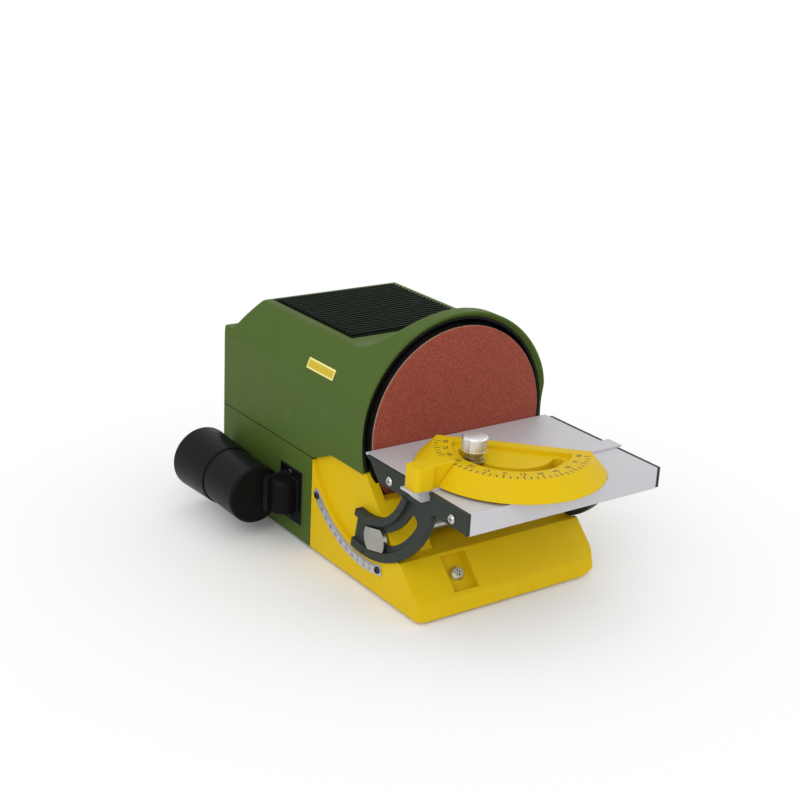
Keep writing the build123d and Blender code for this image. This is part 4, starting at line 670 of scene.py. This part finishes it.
# Pieces
class SANDER_OT_housing(bpy.types.Operator):
    """Finishes the green housing, its grille, liner and bottom, paints shade into its parting gaps with
    dark strips, and adds a bare badge
    """

    bl_idname = "sander.housing"
    bl_label = "Housing"

    def execute(self, context):
        dress(green(), "lower_housing")
        dress(black(), "bottom_cover")
        dress(black_steel(), "housing_screws")
        dress(made("rubber", matt_rubber, colours().rubber), "rubber_feet")
        self.hood()
        self.badge()
        self.grille()
        self.liner()
        self.seams()
        return {"FINISHED"}

    def hood(self):
        """Upper housing with rounded upright corners at the rear, to match the lower one."""
        bm = merged_copy("upper_housing")
        low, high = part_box("upper_housing")
        for side, end in ((-1, low.x), (1, high.x)):
            corner = Vector((end, high.y, low.z))
            round_corner(bm, corner, Vector((side, 1, -1)), sizes().rear_round, UPRIGHT)
        bmesh.ops.recalc_face_normals(bm, faces=bm.faces)
        shell = new_piece("hood_shell", bm, green(), "housing", smooth_angle=30)
        even = shell.modifiers.new("even_shading", "WEIGHTED_NORMAL")
        even.keep_sharp = True
        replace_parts(shell, "upper_housing")

    def badge(self):
        """Bare plate with a raised border, bent to the shoulder of the hood."""
        size = sizes()
        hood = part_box("upper_housing")[0]
        # Radius of the shoulder, height of its centre above the spindle, and how far the plate stands off
        shoulder, rise, proud = 45 * MM, 11.74 * MM, 0.35 * MM
        border, sunk, thick = 0.7 * MM, 0.18 * MM, 0.6 * MM
        centre = Vector((hood.x + shoulder, 0, PIVOT["disc_spin"].z + rise))
        low, high = [asin((z - centre.z) / shoulder) for z in (size.badge_low, size.badge_high)]
        radius = shoulder + proud
        front = hood.y + size.badge_front
        bm = bmesh.new()
        corners = [bm.verts.new((centre.x - radius * cos(low), y, centre.z + radius * sin(low)))
                   for y in (front, front + size.badge_long)]
        edge = bm.edges.new(corners)
        bmesh.ops.spin(bm, geom=[*corners, edge], cent=centre, axis=(0, 1, 0), angle=high - low, steps=6)
        bmesh.ops.recalc_face_normals(bm, faces=bm.faces)
        if bm.faces[:][0].normal.x > 0:
            bmesh.ops.reverse_faces(bm, faces=bm.faces)
        bmesh.ops.inset_region(bm, faces=bm.faces, thickness=border, depth=-sunk, use_even_offset=True)
        bmesh.ops.solidify(bm, geom=bm.faces, thickness=thick)
        middle = front + size.badge_long / 2, (size.badge_low + size.badge_high) / 2
        half = size.badge_long / 2, (size.badge_high - size.badge_low) / 2
        plate = made("badge_enamel", bordered, colours().badge, colours().badge_border, middle, half)
        new_piece("badge_plate", bm, plate, "housing", smooth_angle=25)

    def grille(self):
        """Roof grille: a near-black frame with two ribs, darker than the fins as painted shade of the
        recess, and fins that stand a little above the roof.
        """
        size = sizes()
        low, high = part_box("roof_grille")
        # Covered rim, width and depth of the frame, and width of a rib
        flange, edge, deep, rib = 1.1 * MM, 2.2 * MM, 2.4 * MM, 2.0 * MM
        left, right = low.x + flange, high.x - flange
        front, back = low.y + flange, high.y - flange
        foot, top = high.z - deep, high.z
        bm = bmesh.new()
        for x in (left, right - edge):
            bar(bm, (x, front, foot), (x + edge, back, top))
        for y in (front, back - edge):
            bar(bm, (left + edge, y, foot), (right - edge, y + edge, top))
        for share in (1 / 3, 2 / 3):
            x = left + (right - left) * share - rib / 2
            bar(bm, (x, front + edge, foot - rib), (x + rib, back - edge, foot))
        # Frame and ribs painted near black as the shade of the recess round the fins
        frame_shade = made("grille_plastic", moulded, colours().grille, rough=0.5, specular=0.03)
        framing = new_piece("grille_frame", bm, frame_shade, "housing", smooth_angle=20)
        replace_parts(framing, "roof_grille")
        count = int((back - front - 2 * edge) / size.fin_pitch)
        half = size.fin_wide / 2
        crest_left, crest_right, crest = left + 1.4 * MM, right - 0.2 * MM, top + size.fin_tall
        bm = bmesh.new()
        for step in range(count):
            y = (front + back) / 2 + (step - (count - 1) / 2) * size.fin_pitch
            bar(bm, (left + edge, y - half, foot), (right - edge, y + half, top))
            bar(bm, (crest_left, y - half, top), (crest_right, y + half, crest))
        fin_black = made("fin_plastic", moulded, colours().fin, rough=0.5, specular=0.05)
        new_piece("grille_fins", bm, fin_black, "housing", smooth_angle=20)

    def liner(self):
        """Black liner, cut back so that the green flare of the mouth shows in front of it."""
        bm = merged_copy("hood_liner")
        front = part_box("upper_housing")[0].y + sizes().liner_back
        slice_off(bm, Vector((0, front, 0)), Vector((0, -1, 0)))
        bmesh.ops.recalc_face_normals(bm, faces=bm.faces)
        # The liner's edges are painted paler, a painted highlight
        plastic = made("liner_plastic", moulded, colours().liner, rough=0.25, specular=0.12, worn=5)
        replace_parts(new_piece("mouth_liner", bm, plastic, "housing"), "hood_liner")

    def seams(self):
        """Dark strips a little inside the parting gaps of the housing, as painted shade in the gaps."""
        lower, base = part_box("lower_housing"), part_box("front_base")
        # Parting gap, room left in it, place and thickness of a strip, and the corners it stops at
        gap, slack, deep, thick, corner = 0.6 * MM, 0.02 * MM, 0.1 * MM, 0.9 * MM, 8 * MM
        foot, top = base[0].z + 1 * MM, lower[1].z
        front, rear = base[1].y, lower[1].y - corner
        bm = bmesh.new()
        for x in (base[0].x + deep, base[1].x - deep - thick):
            bar(bm, (x, front, top + slack), (x + thick, rear, top + gap - slack))
            bar(bm, (x, front + slack, foot), (x + thick, front + gap - slack, top))
        left, right = base[0].x + corner, base[1].x - corner
        back = lower[1].y - deep
        bar(bm, (left, back - thick, top + slack), (right, back, top + gap - slack))
        # Near-black strips that paint the shade in the gaps
        dark = made("seam_plastic", moulded, colours().seam, rough=0.6, specular=0.02, worn=1)
        new_piece("gap_shade_strips", bm, dark, "housing", smooth_angle=20)


class SANDER_OT_base(bpy.types.Operator):
    """Finishes the yellow base and its screws, rounds its front lip and prints the tilt scale"""

    bl_idname = "sander.base"
    bl_label = "Base"

    def execute(self, context):
        dress(made("bright_zinc", plated, colours().base_screw, rough=0.3), "base_screw")
        dress(made("scale_sheet", drawn, colours().aluminium, "Y", rough=0.4), "scale_plate")
        dress(black_steel(), "scale_screws")
        self.lip()
        self.tilt_scale()
        return {"FINISHED"}

    def lip(self):
        """Base whose front lip has rounded corners."""
        bm = merged_copy("front_base")
        low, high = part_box("front_base")
        lower = [(turn, dip) for turn in (30, 45, 60) for dip in (20, 40, 60)]
        for side, end, radius in ((-1, low.x, sizes().lip_left), (1, high.x, sizes().lip_right)):
            round_corner(bm, Vector((end, low.y, low.z)), Vector((side, -1, -1)), radius, UPRIGHT + lower)
        bmesh.ops.recalc_face_normals(bm, faces=bm.faces)
        body = new_piece("base_body", bm, yellow(), "housing", smooth_angle=30)
        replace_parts(body, "front_base")

    def tilt_scale(self):
        """Degrees along the inner edge of the scale, with figures beside them."""
        size = sizes()
        # Inner radius of the scale, then margin, length of its lines and place of its figures
        inner, margin, fifth, single, figure_in = 70 * MM, 0.3 * MM, 2.2 * MM, 1.3 * MM, 4.4 * MM
        first, last = -45, 10
        centre = PIVOT["table_tilt"].copy()
        centre.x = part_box("scale_plate")[0].x
        bm = bmesh.new()
        for step in range(first, last + 1):
            lean = radians(step)
            inward = Vector((0, sin(lean), cos(lean)))
            long = fifth if step % 5 == 0 else single
            at = centre - inward * (inner + margin + long / 2)
            stroke(bm, laid(at, inward, LEFT), 0.6 * size.line, long)
            if step % 5 == 0 and first < step < last:
                at = centre - inward * (inner + figure_in)
                figure(bm, laid(at, inward, LEFT), str(abs(step)), size.scale_figure)
        new_piece("tilt_scale_marks", bm, ink(), "housing")


class SANDER_OT_dust_port(bpy.types.Operator):
    """Finishes the dust port and its duct"""

    bl_idname = "sander.dust_port"
    bl_label = "Dust port"

    def execute(self, context):
        dress(black(), "dust_elbow", "port_adapter", "dust_duct")
        dress(black_steel(), "port_screws")
        return {"FINISHED"}


class SANDER_OT_drive(bpy.types.Operator):
    """Finishes the motor, the spindle and the disc"""

    bl_idname = "sander.drive"
    bl_label = "Drive"

    def execute(self, context):
        steel = made("turned_steel", lathed, colours().steel, "Y", PIVOT["disc_spin"])
        dress(steel, "motor_shaft", "motor_rotor", "front_bearing", "rear_bearing")
        dress(black(), "motor_mount", "cooling_fan")
        dress(motor_paint(), "motor_can")
        dress(made("stator_sheets", stacked_sheets, colours().stator, "Y"), "motor_stator")
        dress(aluminium(), "disc_hub")
        dress(black_steel(), "hub_grub_screw", "disc_plate")
        low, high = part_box("abrasive_disc")
        radius = (high.x - low.x) / 2
        paper = made("abrasive_paper", abrasive_paper, colours().abrasive, colours().paper_edge, radius)
        dress(paper, "abrasive_disc")
        return {"FINISHED"}


class SANDER_OT_table(bpy.types.Operator):
    """Finishes the table, its end caps and the tilt clamp, and adds the tilt index"""

    bl_idname = "sander.table"
    bl_label = "Table"

    def execute(self, context):
        dress(aluminium(), "table_plate")
        cap = made("cap_moulding", moulded, colours().cap, rough=0.42)
        dress(cap, "left_end_quadrant", "right_end_quadrant")
        dress(screw_steel(), "end_cap_screws", "clamp_sleeve")
        rings = {"rough": 0.26, "pitch": 0.9 * MM, "deep": 0.08 * MM}
        turned = made("turned_head", lathed, colours().clamp_rod, "X", PIVOT["clamp_turn"], **rings)
        dress(turned, "clamp_rod")
        dress(black(), "clamp_knob")
        self.tilt_index()
        return {"FINISHED"}

    def tilt_index(self):
        """Small wedge on the rim of the left quadrant, which points at the scale."""
        foot, top, deep, margin = 1.3 * MM, 0.9 * MM, 0.5 * MM, 0.3 * MM
        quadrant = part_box("left_end_quadrant")[0]
        at = Vector((quadrant.x, PIVOT["table_tilt"].y, quadrant.z + margin + foot))
        bm = bmesh.new()
        bmesh.ops.create_cone(bm, cap_ends=True, segments=3, radius1=foot, radius2=top, depth=deep)
        bmesh.ops.transform(bm, matrix=laid(at, -UP, LEFT), verts=bm.verts)
        new_piece("tilt_index", bm, ink(), "table", smooth_angle=20)


class SANDER_OT_gauge(bpy.types.Operator):
    """Finishes the mitre gauge, makes its knob and collar and prints its protractor"""

    bl_idname = "sander.gauge"
    bl_label = "Mitre gauge"

    def execute(self, context):
        dress(aluminium(), "guide_rail")
        dress(yellow(), "pointer_block")
        dress(screw_steel(), "gauge_pivot_pin", "gauge_stud")
        self.protractor()
        self.knob()
        self.collar()
        self.degrees()
        return {"FINISHED"}

    def protractor(self):
        """Protractor whose pocket has a shallow floor."""
        deep, shallow = 4.8 * MM, 2.4 * MM
        bm = merged_copy("protractor")
        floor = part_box("protractor")[1].z - deep
        pocket = [vert for vert in bm.verts if abs(vert.co.z - floor) < LEVEL]
        bmesh.ops.translate(bm, vec=UP * (deep - shallow), verts=pocket)
        head = new_piece("protractor_head", bm, yellow(), "protractor", smooth_angle=30)
        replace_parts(head, "protractor")

    def knob(self):
        """Chrome clamp knob with fine flutes between plain rims."""
        stud, radius, high = PIVOT["gauge_knob_turn"], sizes().knob_radius, sizes().knob_high
        foot, low_rim, high_rim, rounding = 3.2 * MM, 1.0 * MM, 1.7 * MM, 0.9 * MM
        facets, flute_edge, flute_deep = 48, 0.06 * MM, 0.45 * MM
        bm = bmesh.new()
        bmesh.ops.create_cone(
            bm, cap_ends=True, segments=facets, radius1=radius, radius2=radius, depth=high)
        rims = low_rim - high / 2, high / 2 - high_rim
        for rim in rims:
            bmesh.ops.bisect_plane(bm, geom=whole(bm), plane_co=UP * rim, plane_no=UP)
        sides = [face for face in bm.faces if abs(face.normal.z) < 0.1]
        band = [face for face in sides if rims[0] < face.calc_center_median().z < rims[1]]
        band.sort(key=lambda face: atan2(face.normal.y, face.normal.x))
        bmesh.ops.inset_individual(bm, faces=band[::2], thickness=flute_edge, depth=-flute_deep)
        ends = [edge for edge in bm.edges if all(abs(abs(v.co.z) - high / 2) < LEVEL for v in edge.verts)]
        bmesh.ops.bevel(bm, geom=ends, offset=rounding, offset_type="OFFSET", segments=3, profile=0.5,
                        affect="EDGES", material=-1)
        bmesh.ops.translate(bm, vec=stud + UP * (foot + high / 2), verts=bm.verts)
        plate = made("chrome", chrome, colours().chrome, stud.z + foot + high)
        knob = new_piece("clamp_knob_chrome", bm, plate, "gauge_knob")
        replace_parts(knob, "gauge_knob")

    def collar(self):
        """Plated collar under the knob, with a groove round it."""
        stud = PIVOT["gauge_knob_turn"]
        # Radius and height of each corner, in millimetres
        profile = (
            (3.2, -2.9), (6.2, -2.9), (6.2, -1.9), (5.3, -1.6), (5.3, 0.2),
            (4.9, 0.5), (4.9, 0.9), (5.4, 1.2), (5.4, 3.1), (3.2, 3.1),
        )
        bm = bmesh.new()
        points = [bm.verts.new(stud + Vector((out * MM, 0, rise * MM))) for out, rise in profile]
        edges = [bm.edges.new((points[i - 1], points[i])) for i in range(len(points))]
        bmesh.ops.spin(
            bm, geom=[*points, *edges], cent=stud, axis=UP, angle=2 * pi, steps=48, use_merge=True)
        bmesh.ops.recalc_face_normals(bm, faces=bm.faces)
        plating = made("collar_plating", plated, colours().collar, rough=0.34)
        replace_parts(new_piece("clamp_collar", bm, plating, "mitre_slide"), "gauge_washer")

    def degrees(self):
        """Lines every 5 degrees round the protractor, with figures every 15."""
        size = sizes()
        # Radius of the rim, then margin, length of its lines and place of its figures
        rim, margin, numbered, plain, figure_in = 45.8 * MM, 0.5 * MM, 4.2 * MM, 3.0 * MM, 7.2 * MM
        # Direction of the middle line, in degrees
        middle = 225
        top = PIVOT["protractor_turn"].copy()
        top.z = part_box("protractor")[1].z
        bm = bmesh.new()
        for step in range(-90, 91, 5):
            around = radians(middle + step)
            out = Vector((cos(around), sin(around), 0))
            long = numbered if step % 15 == 0 else plain
            stroke(bm, laid(top + out * (rim - margin - long / 2), -out, UP), size.line, long)
            if step % 15 == 0:
                figure(bm, laid(top + out * (rim - figure_in), -out, UP), str(abs(step)), size.figure)
        new_piece("protractor_marks", bm, ink(), "protractor")


class SANDER_OT_controls(bpy.types.Operator):
    """Finishes the switch, the speed dial and the cable gland, and prints their marks"""

    bl_idname = "sander.controls"
    bl_label = "Controls"

    def execute(self, context):
        dress(black(), "switch_bezel", "switch_rocker", "speed_knob", "cable_gland")
        dress(made("board", laminate, colours().board), "speed_board")
        dress(motor_paint(), "speed_pot")
        dress(screw_steel(), "pot_shaft")
        self.dial_marks()
        self.pointer()
        self.rocker_marks()
        return {"FINISHED"}

    def dial_marks(self):
        """Steps round the speed dial."""
        size, centre = sizes(), PIVOT["speed_turn"]
        count, full_turn = 6, 270
        tick_out, tick, figure_out = 13 * MM, 1.8 * MM, 16.6 * MM
        bm = bmesh.new()
        for step in range(count):
            turn = radians(full_turn / (count - 1) * step)
            out = Vector((0, sin(turn), cos(turn)))
            stroke(bm, laid(centre + out * tick_out, out, RIGHT), size.line, tick)
            figure(bm, laid(centre + out * figure_out, UP, RIGHT), str(step + 1), size.figure)
        new_piece("speed_marks", bm, white_ink(), "housing")

    def pointer(self):
        """White line in the groove of the speed knob."""
        groove, rise, wide, long = 0.75 * MM, 5.8 * MM, 0.8 * MM, 7 * MM
        at = PIVOT["speed_turn"] + UP * rise
        at.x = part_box("speed_knob")[1].x - groove
        bm = bmesh.new()
        stroke(bm, laid(at, UP, RIGHT), wide, long)
        new_piece("speed_pointer", bm, white_ink(), "speed_dial")

    def rocker_marks(self):
        """Ring and line on the two faces of the rocker, at rest in its off position."""
        size = sizes()
        # Lean at rest in degrees, and the rocker's face: height of its ends and middle, and half its length
        lean, crown, middle, tip = -11, 5.358 * MM, 3.603 * MM, 9.03 * MM
        ring, long = 1.7 * MM, 3.6 * MM
        tilt = Matrix.Translation(PIVOT["switch_rock"]) @ Matrix.Rotation(radians(lean), 4, "Y")
        out = (crown + middle) / 2
        run = Vector((crown - middle, 0, tip)).normalized()
        bm = bmesh.new()
        upper = laid(Vector((out, 0, tip / 2)), run, Vector((run.z, 0, -run.x)))
        ring_mark(bm, tilt @ upper, ring, 2 * size.line)
        lower = laid(Vector((out, 0, -tip / 2)), Vector((-run.x, 0, run.z)), Vector((run.z, 0, run.x)))
        stroke(bm, tilt @ lower, 2 * size.line, long)
        new_piece("switch_marks", bm, white_ink(), "switch_rocker")


class SANDER_OT_stage(bpy.types.Operator):
    """Floor, light and camera"""

    bl_idname = "sander.stage"
    bl_label = "Stage"

    def execute(self, context):
        scene = context.scene
        scene.view_settings.view_transform = "Standard"
        self.sky(scene)
        self.floor(scene)
        aim = Vector((0, 0, 0.07))
        for name, at, side, power in (
            ("key_light", (-1.1, -0.9, 1.05), 1.1, studio().key),
            ("fill_light", (1.2, -0.9, 0.8), 1.2, studio().fill),
            ("top_light", (0.1, 0.5, 1.5), 1.2, studio().fill / 2),
        ):
            self.lamp(scene, name, Vector(at), aim, side, power)
        self.camera(scene)
        return {"FINISHED"}

    def sky(self, scene):
        """Even light, white where the camera or a reflection looks at it."""
        world = bpy.data.worlds.new("studio")
        world.use_nodes = True
        scene.world = world
        nodes = Nodes(world.node_tree)
        even, white = [
            nodes.node("ShaderNodeBackground", inputs={"Color": (1, 1, 1), "Strength": strength})
            for strength in (studio().ambient, 1.0)
        ]
        mix = nodes.node("ShaderNodeMixShader", inputs={0: nodes.seen_as_white(), 1: even, 2: white})
        nodes.put(nodes.tree.nodes["World Output"], "Surface", mix)

    def floor(self, scene):
        """Pale floor that keeps the shadow near the object and runs out to white."""
        dim, pale = (0.93, 0.93, 0.93), (0.96, 0.96, 0.96)
        # Distances from the middle where the paper starts to turn white, and where it is white
        fade_from, fade_to = 0.06, 0.32
        bm = bmesh.new()
        bmesh.ops.create_grid(bm, x_segments=4, y_segments=4, size=studio().floor / 2)
        mesh = bpy.data.meshes.new("floor")
        bm.to_mesh(mesh)
        bm.free()
        finish = Finish("floor_paper", specular=0.1)
        cloud = finish.noise(3, detail=2)
        finish.feed(base_color=finish.blend(cloud, dim, pale), roughness=finish.between(cloud, 0.85, 0.95))
        away = finish.node("ShaderNodeVectorMath", {"operation": "LENGTH"}, {0: finish.place()}, "Value")
        seen = finish.ease(away, fade_from, fade_to) * finish.seen_as_white()
        white = finish.node("ShaderNodeEmission", inputs={"Color": (1, 1, 1), "Strength": 1.0})
        paper = Val(finish, finish.shader.outputs[0])
        mix = finish.node("ShaderNodeMixShader", inputs={0: seen, 1: paper, 2: white})
        finish.put(finish.tree.nodes["Material Output"], "Surface", mix)
        mesh.materials.append(finish.material)
        floor = bpy.data.objects.new("floor", mesh)
        scene.collection.objects.link(floor)

    def lamp(self, scene, name, at, aim, side, power):
        """Square soft light that looks at a point."""
        data = bpy.data.lights.new(name, "AREA")
        data.shape = "SQUARE"
        data.size = side
        data.energy = power
        lamp = bpy.data.objects.new(name, data)
        facing = (aim - at).to_track_quat("-Z", "Y").to_matrix().to_4x4()
        lamp.matrix_world = Matrix.Translation(at) @ facing
        scene.collection.objects.link(lamp)

    def camera(self, scene):
        """Camera at the angle of the photograph."""
        eye = Vector((-0.50616, -0.68832, 0.40253))
        turn, rise, roll = radians(-36.010), radians(19.614), radians(2.970)
        back = Vector((sin(turn) * cos(rise), -cos(turn) * cos(rise), sin(rise)))
        right = Vector((cos(turn), sin(turn), 0))
        head = back.cross(right) * cos(roll) - right * sin(roll)
        data = bpy.data.cameras.new("camera")
        data.lens = studio().lens
        data.sensor_width = 36
        camera = bpy.data.objects.new("camera", data)
        camera.matrix_world = laid(eye, head, back)
        scene.collection.objects.link(camera)
        scene.camera = camera


PIECES = (
    SANDER_OT_housing, SANDER_OT_base, SANDER_OT_dust_port, SANDER_OT_drive,
    SANDER_OT_table, SANDER_OT_gauge, SANDER_OT_controls, SANDER_OT_stage,
)


class SANDER_PT_panel(bpy.types.Panel):
    """Lists the values and the pieces of the sander"""

    bl_idname = "SANDER_PT_panel"
    bl_label = "Bench disc sander"
    bl_space_type = "VIEW_3D"
    bl_region_type = "UI"
    bl_category = "Sander"

    def draw(self, context):
        for group in (colours(), sizes(), studio()):
            for name in group.__annotations__:
                self.layout.prop(group, name)
        for piece in PIECES:
            self.layout.operator(piece.bl_idname)


CLASSES = (SanderColours, SanderSizes, SanderStage, *PIECES, SANDER_PT_panel)


def register():
    for item in CLASSES:
        bpy.utils.register_class(item)
    bpy.types.Scene.sander_colours = PointerProperty(type=SanderColours)
    bpy.types.Scene.sander_sizes = PointerProperty(type=SanderSizes)
    bpy.types.Scene.sander_stage = PointerProperty(type=SanderStage)


def unregister():
    for name in ("sander_stage", "sander_sizes", "sander_colours"):
        delattr(bpy.types.Scene, name)
    for item in reversed(CLASSES):
        bpy.utils.unregister_class(item)


def main():
    register()
    for piece in PIECES:
        group, name = piece.bl_idname.split(".")
        getattr(getattr(bpy.ops, group), name)()


if __name__ == "__main__":
    main()
